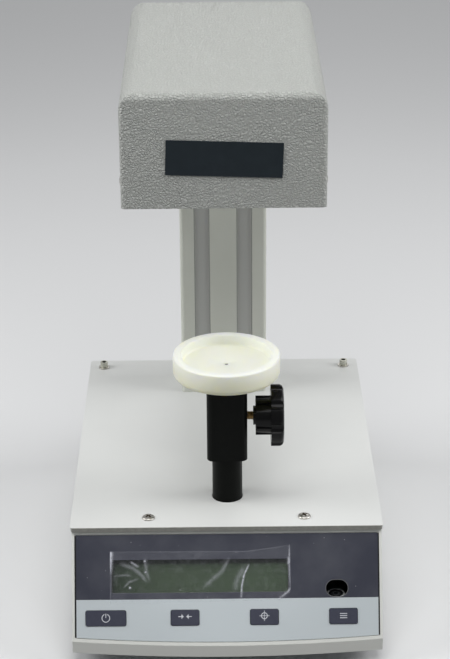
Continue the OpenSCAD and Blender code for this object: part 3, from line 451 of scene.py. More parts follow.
def makeNylon(nylon):  # turned, cream and slightly see-through
    finish = Finish("turnedNylon")
    centred = finish.node(
        "Mapping", inputs={"Vector": finish.place, "Location": -middleOf("tray")}
    )
    rings = finish.node(
        "TexWave",
        {"wave_type": "RINGS", "rings_direction": "Z"},
        {"Vector": centred, "Scale": nylon["ringScale"], "Distortion": nylon["ringWander"]},
        output="Fac",
    )
    cloud = finish.noise(nylon["cloud"], 3)
    low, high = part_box("tray")
    start = low.z + (high.z - low.z) * nylon["underStart"]
    # painted shade: the lower part of the tray is tinted warmer, as it looks in its own shade
    under = finish.ramp(finish.axis("Z"), start, low.z)
    clean = finish.mixed(cloud, *nylon["colors"])
    tone = finish.mixed(under * nylon["underShare"], clean, nylon["underShadeColor"])
    finish.cover(tone, cloud, rings, nylon)
    finish.give({
        "Subsurface Weight": nylon["glow"],
        "Subsurface Radius": nylon["glowReach"],
        "Subsurface Scale": 1.0,
    })
    return finish


blackAnodised = {
    "colors": ((0.002, 0.0024, 0.002), (0.005, 0.006, 0.005)),
    "wear": 0.006,
    "line": 0.0005,
    "lineStretch": (1, 1, 0.04),
    "depth": 0.00002,
    "bump": 0.5,
    "roughness": 0.34,
    "uneven": 0.12,
    "gloss": 0.08,
}


def makeBlackAnodised(black):
    finish = Finish("blackAnodised")
    lines = finish.noise(black["line"], stretch=black["lineStretch"])
    wear = finish.noise(black["wear"], 4)
    finish.cover(finish.mixed(wear, *black["colors"]), wear, lines, black)
    return finish


knobBlack = {
    "colors": ((0.002, 0.002, 0.0022), (0.005, 0.005, 0.0055)),
    "dust": 0.0007,
    "sink": 0.01,  # the moulding's faint sink marks
    "depth": 0.0001,
    "bump": 0.5,
    "roughness": 0.14,
    "uneven": 0.12,
    "gloss": 0.16,
}


def makeKnobBlack(knob):  # glossy moulding
    finish = Finish("knobBlack")
    dust = finish.noise(knob["dust"])
    finish.cover(finish.mixed(dust, *knob["colors"]), dust, finish.noise(knob["sink"]), knob)
    return finish


moulding = {
    "grit": 0.0005,
    "worn": 0.008,
    "wornFactor": 1.6,
    "wornLift": 0.004,
    "depth": 0.00005,
    "bump": 0.6,
    "uneven": 0.2,
}


def makeMoulding(name, color, roughness, gloss=plainGloss):  # spark-eroded plastic or rubber
    finish = Finish(name)
    grit = finish.noise(moulding["grit"], 3)
    worn = finish.noise(moulding["worn"], 3)
    paler = tuple(c * moulding["wornFactor"] + moulding["wornLift"] for c in color)
    look = {**moulding, "roughness": roughness, "gloss": gloss}
    finish.cover(finish.mixed(worn, color, paler), grit, grit, look)
    return finish


# Metals

metal = {
    "line": 0.0004,
    "lineShare": 0.15,
    "stain": 0.005,
    "stainShare": 0.08,
    "stainRange": (0.35, 0.75),
    "stainDepth": 3,  # how much darker a stain is, in steps of the tarnish
    "depth": 0.00003,
    "bump": 0.4,
}


def makeMetal(name, color, roughness, stretch=(1, 1, 1), tarnish=0.12):
    finish = Finish(name, metallic=1.0)
    lines = finish.noise(metal["line"], 3, stretch=stretch)
    stains = finish.noise(metal["stain"], 4)
    dark = tinted(color, 1 - metal["stainDepth"] * tarnish)
    finish.give({
        "Base Color": finish.mixed(finish.ramp(stains, *metal["stainRange"]), color, dark),
        "Roughness": roughness + lines * metal["lineShare"] + stains * metal["stainShare"],
        "Normal": finish.bump(lines, metal["depth"], metal["bump"]),
    })
    return finish


capScrew = {
    "color": (0.62, 0.62, 0.54),
    "roughness": 0.3,
    "inset": 0.0029,  # from the outer edge of a head to its middle
    "socketRadius": 0.0018,
    "socketDepth": 0.0035,
    "socketShadeColor": (0.11, 0.11, 0.09),
}


def makeCapScrew(cap):  # bright nickel, with painted shade in its socket
    finish = makeMetal("capScrews", cap["color"], cap["roughness"])
    low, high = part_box("rear_screws")
    x = abs(finish.axis("X")) - (high.x - low.x) / 2 + cap["inset"]
    y = finish.axis("Y") - middleOf("rear_screws").y
    # painted shade: the hex socket is coloured dark, as it lies in shadow
    inside = (x * x + y * y) ** 0.5 < cap["socketRadius"]
    socket = inside * (finish.axis("Z") > (high.z - cap["socketDepth"]))
    finish.give({"Base Color": finish.mixed(socket, finish.paint(), cap["socketShadeColor"])})
    return finish


# Printed front: a dark field above, a pale field below, and a few specks of dust

overlayPrint = {
    "split": 0.0449,  # down the slope
    "dark": (0.036, 0.039, 0.058),
    "pale": (0.60, 0.655, 0.68),
    "haze": 0.02,
    "hazeRange": (0.4, 0.9),
    "hazeShare": 0.05,
    "hazeColor": (0.72, 0.74, 0.74),
    "dust": 0.0062,
    "dustRadius": 0.045,
    "dustShare": 0.35,
    "dustColor": (0.75, 0.76, 0.78),
    "wave": 0.05,
    "depth": 0.0004,
    "bump": 0.25,
    "roughness": 0.34,
    "uneven": 0.1,
}


def makeOverlay(front):
    finish = Finish("printedOverlay")
    dust = finish.cells(front["dust"]) < front["dustRadius"]
    haze = finish.noise(front["haze"], 3)
    field = finish.mixed(downSlope(finish) > front["split"], front["dark"], front["pale"])
    veil = finish.ramp(haze, *front["hazeRange"]) * front["hazeShare"]
    hazed = finish.mixed(veil, field, front["hazeColor"])
    dusty = finish.mixed(dust * front["dustShare"], hazed, front["dustColor"])
    finish.cover(dusty, haze, finish.noise(front["wave"]), front)
    return finish


keyPrint = {
    "colors": ((0.040, 0.043, 0.068), (0.054, 0.058, 0.084)),
    "signColor": (0.66, 0.68, 0.72),
    "scuff": 0.003,
    "grit": 0.0008,
    "depth": 0.00003,
    "bump": 0.4,
    "roughness": 0.3,
    "uneven": 0.14,
}


def makeKey(node, sign):  # dark print with a small generic sign in white
    finish = Finish("print_" + node)
    x, y, z = fromMiddle(finish, node)
    down = y * slopeTurn.z - z * slopeTurn.y
    scuff = finish.noise(keyPrint["scuff"], 3)
    tone = finish.mixed(scuff, *keyPrint["colors"])
    signed = finish.mixed(sign(x, down), tone, keyPrint["signColor"])
    finish.cover(signed, scuff, finish.noise(keyPrint["grit"]), keyPrint)
    return finish


signSizes = {
    "line": 0.00026,  # half of a line's width
    "ring": 0.0026,
    "gapHalfWidth": 0.0009,
    "gapHalfHeight": 0.0015,
    "barRise": 0.0016,
    "barHalfHeight": 0.0014,
    "arrowTip": 0.0008,
    "arrowBase": 0.0024,
    "arrowEnd": 0.0045,
    "crossRing": 0.75,  # shares of the ring and the line above
    "crossLine": 0.7,
    "crossReach": 0.0034,
    "levelHalfWidth": 0.0024,
    "levelPitch": 0.0014,
}


def ringMask(x, down, radius):
    return abs((x * x + down * down) ** 0.5 - radius) < signSizes["line"]


def barMask(x, down, halfWidth, halfHeight):
    return (abs(x) < halfWidth) * (abs(down) < halfHeight)


def anyOf(*masks):
    total = masks[0]
    for mask in masks[1:]:
        total = total + mask
    return total.finish.maths("MINIMUM", total, 1.0)


def powerSign(x, down):  # open ring with an upright bar
    radius = signSizes["ring"]
    gap = barMask(x, down + radius, signSizes["gapHalfWidth"], signSizes["gapHalfHeight"])
    raised = down + signSizes["barRise"]
    bar = barMask(x, raised, signSizes["line"], signSizes["barHalfHeight"])
    return anyOf(ringMask(x, down, radius) * (1 - gap), bar)


def tareSign(x, down):  # two arrows that meet
    side = abs(x)
    tip = signSizes["arrowTip"]
    shaft = (abs(down) < signSizes["line"]) * (side > tip) * (side < signSizes["arrowEnd"])
    head = (abs(down) < (side - tip)) * (side > tip) * (side < signSizes["arrowBase"])
    return anyOf(shaft, head)


def calibrateSign(x, down):  # ring with a cross
    line = signSizes["line"] * signSizes["crossLine"]
    reach = signSizes["crossReach"]
    cross = anyOf(barMask(x, down, reach, line), barMask(x, down, line, reach))
    return anyOf(ringMask(x, down, signSizes["ring"] * signSizes["crossRing"]), cross)


def modeSign(x, down):  # three level bars
    pitch = signSizes["levelPitch"]
    return anyOf(*[
        barMask(x, down + shift, signSizes["levelHalfWidth"], signSizes["line"])
        for shift in (-pitch, 0, pitch)
    ])


keySigns = {"power": powerSign, "tare": tareSign, "cal": calibrateSign, "mode": modeSign}


# Display, its clear sheets, and the level

displayGlass = {
    "across": [
        (0.0, (0.01, 0.02, 0.008)),
        (0.3, (0.056, 0.084, 0.046)),
        (1.0, (0.068, 0.104, 0.058)),
    ],
    "lineScale": 900,
    "lineShare": 0.08,
    "mottle": 0.012,
    "mottleShare": 0.35,
    "mottleColor": (0.042, 0.066, 0.038),
    "shadeTop": 0.0208,  # the window's edge shades the glass down to here,
    "shadeLeft": 0.0068,  # and to here from the left
    "shadeSoft": 0.0016,
    "shadeShare": 0.8,
    "shadeColor": (0.008, 0.012, 0.007),
    "depth": 0.00005,
    "bump": 0.2,
    "roughness": 0.22,
    "uneven": 0.1,
    "gloss": 0.2,
}


def makeDisplayGlass(glass):
    finish = Finish("displayGlass")
    low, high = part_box("lcd_module")
    x = finish.axis("X") - low.x
    across = finish.ramp(x, 0.0, high.x - low.x)
    wave = {"Vector": finish.place, "Scale": glass["lineScale"]}
    lines = finish.node("TexWave", {"wave_type": "BANDS"}, wave, output="Fac")
    mottled = finish.noise(glass["mottle"], 3)
    top = glass["shadeTop"]
    left = glass["shadeLeft"]
    shaded = finish.maths(
        "MAXIMUM",
        finish.ramp(downSlope(finish), top + glass["shadeSoft"], top),
        finish.ramp(x, left + glass["shadeSoft"], left),
    )
    tone = finish.node("ValToRGB", {"stops": glass["across"]}, {0: across}, output="Color")
    marks = mottled * glass["mottleShare"] + lines * glass["lineShare"]
    marked = finish.mixed(marks, tone, glass["mottleColor"])
    dimmed = finish.mixed(shaded * glass["shadeShare"], marked, glass["shadeColor"])
    finish.cover(dimmed, mottled, mottled, glass)
    return finish


clearPane = {
    "color": (0.30, 0.36, 0.30),
    "smear": 0.009,
    "smearRange": (0.45, 0.8),
    "smearShare": 0.02,
    "cover": 0.02,
    "roughness": 0.05,
    "uneven": 0.08,
    "gloss": 0.2,
}


def makeClearPane(pane):
    finish = Finish("clearPane", pane["color"])
    smears = finish.noise(pane["smear"], 4)
    finish.give({
        "Alpha": pane["cover"] + finish.ramp(smears, *pane["smearRange"]) * pane["smearShare"],
        "Roughness": pane["roughness"] + smears * pane["uneven"],
        "Specular IOR Level": pane["gloss"],
    })
    return finish


clearFilm = {
    "color": (0.80, 0.82, 0.90),
    "cover": 0.016,
    "crease": 0.35,  # how white a full crease is, and what its breaks add; the white is partly the fold's stress whitening and partly painted highlight
    "creaseBreak": 0.4,
    "break": 0.0016,
    "breakRange": (0.3, 0.6),
    "rub": 0.004,
    "rubRange": (0.5, 0.8),
    "rubShare": 0.03,
    "roughness": 0.16,
    "uneven": 0.16,
    "gloss": 0.2,
}


def makeFilm(film):  # thin and clear; the sheet's own crease attribute whitens its folds, partly as painted highlight
    finish = Finish("creasedFilm", film["color"])
    crease = finish.node("Attribute", {"attribute_name": "crease"}, output="Fac")
    rubs = finish.noise(film["rub"], 4)
    breaks = finish.ramp(finish.noise(film["break"], 3), *film["breakRange"])
    # white along the folds: stress whitening in part, painted highlight in part
    white = crease * (breaks * film["creaseBreak"] + film["crease"])
    rubbed = finish.ramp(rubs, *film["rubRange"]) * film["rubShare"]
    finish.give({
        "Alpha": film["cover"] + white + rubbed,
        "Roughness": film["roughness"] + rubs * film["uneven"],
        "Specular IOR Level": film["gloss"],
    })
    return finish


levelLiquid = {
    "colors": ((0.014, 0.016, 0.02), (0.022, 0.026, 0.03)),
    "cloud": 0.003,
    "ringRadius": 0.0028,
    "ringHalfWidth": 0.00012,
    "ringColor": (0.2, 0.2, 0.2),
    "bubbleRadius": 0.0019,
    "bubbleHalfWidth": 0.00025,
    "bubbleShare": 0.4,
    "bubbleColor": (0.3, 0.34, 0.36),
    "roughness": 0.06,
}


def makeLiquid(liquid):
    finish = Finish("levelLiquid", roughness=liquid["roughness"])
    x, y = fromMiddle(finish, "level_glass")[:2]
    reach = (x * x + y * y) ** 0.5
    ring = abs(reach - liquid["ringRadius"]) < liquid["ringHalfWidth"]
    bubble = abs(reach - liquid["bubbleRadius"]) < liquid["bubbleHalfWidth"]
    clear = finish.mixed(finish.noise(liquid["cloud"]), *liquid["colors"])
    marked = finish.mixed(ring, clear, liquid["ringColor"])
    edge = bubble * liquid["bubbleShare"]
    finish.give({"Base Color": finish.mixed(edge, marked, liquid["bubbleColor"])})
    return finish


circuitBoard = {
    "colors": ((0.012, 0.13, 0.05), (0.03, 0.22, 0.09)),
    "trackScale": 420,
    "trackWidth": 0.05,
    "roughness": 0.3,
    "uneven": 0.2,
}


def makeBoard(board):
    finish = Finish("circuitBoard")
    pattern = {
        "Vector": finish.place,
        "Scale": board["trackScale"],
        "Mortar Size": board["trackWidth"],
    }
    tracks = finish.node("TexBrick", inputs=pattern, output="Fac")
    finish.give({
        "Base Color": finish.mixed(tracks, *board["colors"]),
        "Roughness": board["roughness"] + tracks * board["uneven"],
    })
    return finish


finishes = {
    "coverPaint": makeCoverPaint(coverGrain),
    "platePaint": makePlatePaint(platePaint),
    "bodyPaint": makeBodyPaint(bodyPaint),
    "columnPaint": makeColumnPaint(columnPaint),
    "nylon": makeNylon(trayNylon),
    "blackAnodised": makeBlackAnodised(blackAnodised),
    "knobBlack": makeKnobBlack(knobBlack),
    "zinc": makeMetal("zincPlate", (0.56, 0.57, 0.58), 0.32),
    "nickel": makeMetal("nickelScrews", (0.60, 0.58, 0.54), 0.22),
    "dark": makeMetal("darkSteel", (0.20, 0.19, 0.17), 0.3),
    "cap": makeCapScrew(capScrew),
    "ground": makeMetal("groundSteel", (0.6, 0.6, 0.6), 0.15, stretch=(1, 1, 0.05)),
    "chrome": makeMetal("brightRing", (0.34, 0.35, 0.36), 0.08, tarnish=0.05),
    "brass": makeMetal("turnedBrass", (0.46, 0.33, 0.16), 0.24, tarnish=0.15),
    "bronze": makeMetal("bushBronze", (0.45, 0.28, 0.12), 0.3, tarnish=0.15),
    "aluminium": makeMetal("milledAluminium", (0.62, 0.63, 0.64), 0.28, stretch=(1, 0.05, 1)),
    "overlay": makeOverlay(overlayPrint),
    "display": makeDisplayGlass(displayGlass),
    "pane": makeClearPane(clearPane),
    # painted shade in the screws' cross recesses
    "recess": makeMoulding("screwRecessShade", (0.055, 0.045, 0.03), 0.5),
    "cup": makeMoulding("levelCupMoulding", (0.78, 0.79, 0.80), 0.4),
    "film": makeFilm(clearFilm),
    "liquid": makeLiquid(levelLiquid),
    "board": makeBoard(circuitBoard),
    "moulding": makeMoulding("blackMoulding", (0.012, 0.012, 0.013), 0.4),
    "motor": makeMoulding("motorPaint", (0.02, 0.02, 0.022), 0.35),
    "rubber": makeMoulding("footRubber", (0.014, 0.014, 0.014), 0.6),
    "namePlate": makeMoulding("namePlateFilm", (0.007, 0.0125, 0.017), 0.3, gloss=0.25),
}
for word, sign in keySigns.items():
    finishes["key_" + word] = makeKey("key_" + word, sign)

print("finishes made,", len(finishes))


# Modelling helpers

mergeReach = 1e-6  # points nearer than this are one
drawnStart = 0.001  # size of the plane whose corners merge into a line's first point


def deselectAll():
    bpy.ops.object.select_all(action="DESELECT")


def onlySelect(piece):
    deselectAll()
    piece.select_set(True)
    bpy.context.view_layer.objects.active = piece


def startEdit():
    bpy.ops.object.mode_set(mode="EDIT")
    bpy.ops.mesh.select_all(action="SELECT")


def finishEdit():
    bpy.ops.object.mode_set(mode="OBJECT")


def applied(piece, kind, settings):
    onlySelect(piece)
    modifier = piece.modifiers.new(kind.lower(), kind)
    for key, value in settings.items():
        setattr(modifier, key, value)
    bpy.ops.object.modifier_apply(modifier=modifier.name)


def settle(piece):  # brings the piece's origin to the frame's, with its place in its mesh
    onlySelect(piece)
    bpy.ops.object.transform_apply()


def joined(pieces):  # all in the first one
    deselectAll()
    for piece in pieces:
        piece.select_set(True)
    bpy.context.view_layer.objects.active = pieces[0]
    bpy.ops.object.join()
    return pieces[0]


def smoothed(piece, angle):
    onlySelect(piece)
    bpy.ops.object.shade_smooth_by_angle(angle=math.radians(angle))


def giveFinishes(piece, names):
    piece.data.materials.clear()
    for name in names:
        piece.data.materials.append(finishes[name].material)


def dress(piece, finish, node):  # gives a piece its material and its place in the frame
    giveFinishes(piece, [finish])
    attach(piece, frame["nodes"][node]["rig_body"])


def drawn(first, steps):  # a line begun at one point and extruded step by step, left in edit mode
    deselectAll()
    bpy.ops.mesh.primitive_plane_add(size=drawnStart)
    startEdit()
    bpy.ops.mesh.merge(type="CENTER")
    bpy.ops.transform.translate(value=first)
    for step in steps:
        bpy.ops.mesh.extrude_region_move(TRANSFORM_OT_translate={"value": step})
    return bpy.context.object


def turned(name, profile, steps):  # a profile of (radius, height) points, drawn and spun
    first = (profile[0][0], 0, profile[0][1])
    piece = drawn(first, [
        (end[0] - start[0], 0, end[1] - start[1]) for start, end in zip(profile, profile[1:])
    ])
    piece.name = name
    bpy.ops.mesh.select_all(action="SELECT")
    bpy.ops.mesh.spin(steps=steps, angle=math.tau, center=(0, 0, 0), axis=(0, 0, 1))
    bpy.ops.mesh.select_all(action="SELECT")
    bpy.ops.mesh.remove_doubles(threshold=mergeReach)
    bpy.ops.mesh.normals_make_consistent()
    finishEdit()
    return piece


def rounding(centre, radius, first, last, steps):  # points along an arc, in degrees
    turns = [math.radians(first + (last - first) * i / steps) for i in range(steps + 1)]
    return [
        (centre[0] + radius * math.cos(turn), centre[1] + radius * math.sin(turn))
        for turn in turns
    ]


# Casings

softening = {
    "merge": 2e-6,
    "flat": 0.3,  # degrees; faces turned by less become one
    "segments": 2,
    "smoothMargin": 4,  # degrees by which smoothing stops before rounding does
}
edgeAngle = {  # in degrees; only edges sharper than this are rounded
    "casing": 36,
    "body": 26,  # its slope meets its band at under 30 degrees
    "keyOrFoot": 35,
}
softPieces = [
    # node, piece, edge rounding, finish, slot
    ("head_cover", "headShell", 0.0006, "coverPaint", "cover_paint"),
    ("top_plate", "topSheet", 0.00035, "platePaint", "plate_paint"),
    ("base_body", "baseShell", 0.0004, "bodyPaint", "body_paint"),
    ("column", "columnBar", 0.0003, "columnPaint", "column_paint"),
    ("bottom_plate", "bottomSheet", 0.0003, "zinc", "zinc_steel"),
    ("head_plate", "headSheet", 0.0003, "zinc", "zinc_steel"),
    ("clamp_block", "clampBody", 0.0005, "blackAnodised", "black_anodised"),
    ("lift_post", "liftTube", 0.0003, "blackAnodised", "black_anodised"),
    ("clamp_knob", "gripKnob", 0.0005, "knobBlack", "knob_black"),
    ("name_plate", "blankPlate", 0.00012, "namePlate", "name_plate"),
    ("bottom_screws", "bottomScrews", 0.00015, "nickel", "steel_screws"),
    ("rear_screws", "rearScrews", 0.0002, "cap", "dark_steel"),
    ("rear_washers", "rearWashers", 0.00015, "nickel", "steel_screws"),
    ("dc_socket", "powerSocket", 0.0003, "moulding", "black_moulding"),
    ("level_cup", "levelCup", 0.0002, "cup", "zinc_steel"),
    ("sight_ring", "sightRing", 0.0001, "chrome", "bright_ring"),
    ("hook_arm", "hookArm", 0.00015, "zinc", "zinc_steel"),
    ("plate_hook", "wireHook", 0.0003, "chrome", "bright_wire"),
    ("force_sensor", "sensorBeam", 0.0003, "aluminium", "bare_aluminium"),
    ("sensor_mount", "sensorBlock", 0.0005, "aluminium", "bare_aluminium"),
]
for word in keySigns:
    key = "key_" + word
    softPieces.append((key, word + "Button", 0.00025, key, "keys"))
for corner in ("fl", "fr", "rl", "rr"):
    stud = "foot_stud_" + corner
    pad = "foot_pad_" + corner
    softPieces.append((stud, "footScrew_" + corner, 0.0002, "zinc", "zinc_steel"))
    softPieces.append((pad, "footPad_" + corner, 0.0004, "rubber", "foot_rubber"))


def softened(node, name, width, angle):  # a merged copy of a node, with rounded edges
    piece = linked(name, frame["nodes"][node].data.copy())
    onlySelect(piece)
    bpy.ops.mesh.customdata_custom_splitnormals_clear()
    startEdit()
    bpy.ops.mesh.remove_doubles(threshold=softening["merge"])
    bpy.ops.mesh.dissolve_limited(angle_limit=math.radians(softening["flat"]))
    finishEdit()
    applied(piece, "BEVEL", {
        "width": width,
        "segments": softening["segments"],
        "limit_method": "ANGLE",
        "angle_limit": math.radians(angle),
    })
    smoothed(piece, angle - softening["smoothMargin"])
    applied(piece, "WEIGHTED_NORMAL", {"keep_sharp": True})  # keeps the large flat faces flat
    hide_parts(node)
    return piece


def edgeKind(node):
    if node == "base_body":
        return "body"
    return "keyOrFoot" if node.startswith(("key_", "foot_")) else "casing"


for node, name, width, finish, slot in softPieces:
    piece = softened(node, name, width, edgeAngle[edgeKind(node)])
    dress(piece, finish, node)

print("casings and fittings softened")


# Tray, turned from cream nylon

traySizes = {
    "recessRadius": 0.03035,
    "recessDepth": 0.0071,
    "lowRound": 0.004,
    "rimRound": 0.0012,
    "innerRim": 0.6,  # the rim's inner rounding, as a share of its outer one
    "cornerRound": 0.0016,
    "holeRadius": 0.0014,
    "sinkRadius": 0.0027,
    "sinkDepth": 0.0005,
    "arcSteps": 4,
    "rimSteps": 5,
    "lowSteps": 8,
    "steps": 128,
    "smooth": 40,
}


def makeTray(sizes):
    low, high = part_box("tray")
    outer = (high.x - low.x) / 2
    tall = high.z - low.z
    floor = tall - sizes["recessDepth"]
    recess = sizes["recessRadius"]
    corner = sizes["cornerRound"]
    rim = sizes["rimRound"]
    inner = rim * sizes["innerRim"]
    under = sizes["lowRound"]
    arc = sizes["arcSteps"]
    profile = [(sizes["holeRadius"], floor - sizes["sinkDepth"]), (sizes["sinkRadius"], floor)]
    profile += rounding((recess - corner, floor + corner), corner, -90, 0, arc)
    profile += rounding((recess + inner, tall - inner), inner, 180, 90, arc)
    profile += rounding((outer - rim, tall - rim), rim, 90, 0, sizes["rimSteps"])
    profile += rounding((outer - under, under), under, 0, -90, sizes["lowSteps"])
    profile += [(sizes["holeRadius"], 0), profile[0]]
    tray = turned("turnedTray", profile, sizes["steps"])
    tray.location = (middleOf("tray").x, middleOf("tray").y, low.z)
    settle(tray)
    smoothed(tray, sizes["smooth"])
    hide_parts("tray")
    dress(tray, "nylon", "tray")


makeTray(traySizes)

print("tray turned")


# Clamp screw, with its thread cut

threadSizes = {
    "pitch": 0.001,
    "depth": 0.00055,
    "turns": 15,
    "clearEnd": 0.0006,
    "flank": 0.85,  # heights of a tooth's flank and crest, in half pitches
    "crest": 0.3,
    "rootCover": 0.00002,  # the core hides the tooth's open root
    "sides": 40,
    "endBevel": 0.0003,
    "endSegments": 2,
    "steps": 28,
    "smooth": 40,
}


def makeThread(core, radius, sizes):  # one tooth wound into a helix
    rise = sizes["pitch"] / 2
    flank = rise * sizes["flank"]
    tooth = drawn((core, 0, 0), [
        (radius - core, 0, flank),
        (0, 0, rise * sizes["crest"]),
        (core - radius, 0, flank),
    ])
    finishEdit()
    applied(tooth, "SCREW", {
        "axis": "Z",
        "screw_offset": sizes["pitch"],
        "iterations": sizes["turns"],
        "steps": sizes["steps"],
        "render_steps": sizes["steps"],
    })
    return tooth


def makeClampScrew(sizes):
    low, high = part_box("clamp_screw")
    radius = (high.z - low.z) / 2
    core = radius - sizes["depth"]
    length = high.x - low.x
    deselectAll()
    bpy.ops.mesh.primitive_cylinder_add(
        vertices=sizes["sides"], radius=core + sizes["rootCover"], depth=length
    )
    screw = bpy.context.object
    screw.name = "threadedScrew"
    applied(screw, "BEVEL", {
        "width": sizes["endBevel"],
        "segments": sizes["endSegments"],
        "limit_method": "ANGLE",
    })
    tooth = makeThread(core, radius, sizes)
    tooth.location = (0, 0, -length / 2 + sizes["clearEnd"])
    joined([screw, tooth])
    screw.rotation_euler = (0, math.pi / 2, 0)
    screw.location = middleOf("clamp_screw")
    settle(screw)
    smoothed(screw, sizes["smooth"])
    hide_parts("clamp_screw")
    dress(screw, "brass", "clamp_screw")


makeClampScrew(threadSizes)

print("clamp screw threaded")


# Creased protective film over the display

# Places on the film are pairs on the sloping face, in millimetres: right, and down the slope.
perMetre = 1000
filmSizes = {
    "top": [(-78.2, 12.9), (13.3, 13.3), (42.4, 9.4)],
    "foot": [(-78.3, 48.0), (33.4, 46.0), (42.6, 45.0)],
    "columns": 200,
    "rows": 64,
    "lift": 0.00014,  # above the body's face
    "thickness": 0.0001,
    "foldStart": (43.3, 37.1),
    "foldEnd": (34.3, 45.4),
    "foldRadius": 0.0022,
    "rise": 0.0005,  # height of a full crease
    "waveHeight": 0.00008,
    "waveAcross": 150,
    "waveDown": 210,
    "smooth": 60,
}
filmCreases = [
    # half width in metres, strength from 0 to 1, line
    (0.0013, 0.85, [(-77.6, 13.0), (-78.2, 19.6), (-78.6, 26.6)]),
    (0.001, 1.0, [(-77.6, 13.2), (-78.0, 16.5)]),
    (0.0003, 0.25, [(-78.6, 26.6), (-78.3, 48.0)]),
    (0.0012, 0.15, [(1.3, 18.3), (-3.0, 26.3), (-9.9, 32.2), (-15.5, 37.0)]),
    (0.00045, 0.8, [(14.5, 22.7), (11.4, 29.0), (9.8, 36.6), (9.4, 44.2)]),
    (0.0016, 0.14, [(11.5, 23.9), (7.2, 31.5), (5.4, 39.1)]),
    (0.0011, 0.17, [(-70.8, 21.4), (-62.7, 24.0), (-56.8, 29.2), (-54.2, 32.8)]),
    (0.0005, 0.5, [(-64.4, 20.0), (-59.3, 23.2)]),
    (0.001, 0.16, [(-54.6, 18.6), (-54.0, 26.7), (-51.9, 31.8)]),
    (0.0007, 0.12, [(-76.4, 29.4), (-67.9, 28.6), (-64.0, 29.3)]),
    (0.0006, 0.18, [(-68.8, 36.7), (-65.3, 33.3), (-59.4, 31.3)]),
    # the next four short marks are painted glints
    (0.0006, 0.9, [(-55.2, 19.3), (-54.6, 19.9)]),
    (0.0006, 0.9, [(-54.8, 26.6), (-54.0, 27.0)]),
    (0.0005, 1.0, [(-65.2, 36.8), (-64.5, 37.4)]),
    (0.0005, 0.3, [(-31.5, 38.6), (-31.1, 38.8)]),
    (0.0005, 0.4, [(42.1, 9.4), (41.6, 22.5), (42.3, 36.9)]),
    (0.0008, 0.55, [(41.5, 17.5), (41.4, 23.0)]),
    (0.0006, 0.36, [(43.3, 37.1), (40.3, 40.8), (34.3, 45.4)]),
    (0.0003, 0.1, [(-77.0, 13.1), (13.3, 13.6), (42.0, 9.7)]),
]
creaseTaper = {"least": 0.35, "rate": 5}  # a crease weakens over the last fifth of its length


def edgeHeight(edge, x):  # how far down the slope a film edge lies at a sideways place
    for start, end in zip(edge, edge[1:]):
        if x <= end[0] or end is edge[-1]:
            return start[1] + (end[1] - start[1]) * (x - start[0]) / (end[0] - start[0])


def nearLine(point, line):  # distance to a line of points, and a taper towards its ends
    best = (1.0, 0.0)
    for i, (start, end) in enumerate(zip(line, line[1:])):
        along = end - start
        share = min(1.0, max(0.0, (point - start).dot(along) / along.length_squared))
        distance = (point - start - along * share).length
        if distance < best[0]:
            best = (distance, (i + share) / (len(line) - 1))
    rate = creaseTaper["rate"]
    least = creaseTaper["least"]
    return best[0], least + (1 - least) * min(1.0, rate * best[1], rate * (1 - best[1]))


def creaseStrength(point, creases):  # how far a point of the film is folded, from 0 to 1
    total = 0.0
    for width, strength, line in creases:
        distance, taper = nearLine(point, line)
        total = max(total, strength * taper * math.exp(-((distance / width) ** 2)))
    return total


def panelPoint(x, down, height):  # a point above the bowed sloping face
    fall = down / panelShape["length"]
    foot = max(0.0, 1 - (1 - abs(2 * x / panelShape["width"])) / fall)
    proud = panelShape["bow"] * (panelShape["meanBow"] - foot**2) * fall * slopeTurn.y
    onSlope = Vector((0, slopeTurn.z, -slopeTurn.y)) * down
    return panelShape["top"] + Vector((x, 0, 0)) + onSlope - slopeTurn * (proud + height)


def makeFilmSheet(sizes, creases):
    deselectAll()
    bpy.ops.mesh.primitive_grid_add(
        x_subdivisions=sizes["columns"], y_subdivisions=sizes["rows"], size=1
    )
    film = bpy.context.object
    film.name = "creasedFilmSheet"
    lines = [
        (width, strength, [Vector(point) / perMetre for point in line])
        for width, strength, line in creases
    ]
    foldStart = Vector(sizes["foldStart"]) / perMetre
    foldAlong = (Vector(sizes["foldEnd"]) / perMetre - foldStart).normalized()
    foldOut = Vector((foldAlong.y, -foldAlong.x))
    foldRadius = sizes["foldRadius"]
    left = sizes["top"][0][0]
    right = sizes["top"][-1][0]
    strengths = []
    for vertex in film.data.vertices:
        x = left + (right - left) * (vertex.co.x + 0.5)
        top = edgeHeight(sizes["top"], x)
        foot = edgeHeight(sizes["foot"], x)
        point = Vector((x, top + (foot - top) * (0.5 - vertex.co.y))) / perMetre
        folded = creaseStrength(point, lines)
        strengths.append(folded)
        wave = math.sin(point.x * sizes["waveAcross"]) * math.sin(point.y * sizes["waveDown"] + 1)
        height = sizes["lift"] + folded * sizes["rise"] + sizes["waveHeight"] * (1 + wave)
        past = (point - foldStart).dot(foldOut)
        if past > 0:
            turn = past / foldRadius
            point += foldOut * (foldRadius * math.sin(turn) - past)
            height += foldRadius * (1 - math.cos(turn))
        vertex.co = panelPoint(point.x, point.y, height)
    crease = film.data.attributes.new("crease", "FLOAT", "POINT")
    crease.data.foreach_set("value", strengths)
    applied(film, "SOLIDIFY", {"thickness": sizes["thickness"], "offset": 1.0})
    settle(film)
    smoothed(film, sizes["smooth"])
    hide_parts("display_film")
    dress(film, "film", "display_film")


makeFilmSheet(filmSizes, filmCreases)

print("film made")


# Domed screws with a cross recess

crossSizes = {
    "length": 0.62,  # shares of the head's radius
    "width": 0.19,
    "depth": 0.62,  # share of the head's height
    "taper": 0.45,  # the recess narrows to this share at its foot
}
domeSizes = {"skirt": 0.25, "turnStep": 10, "steps": 40, "smooth": 35}
frontScrew = {"head": 0.0043, "height": 0.0019, "shank": 0.002, "reach": 0.011, "turns": (40, 28)}
coverScrew = {"head": 0.0034, "height": 0.0014, "shank": 0.002, "reach": 0.0042, "turns": (20, 65)}


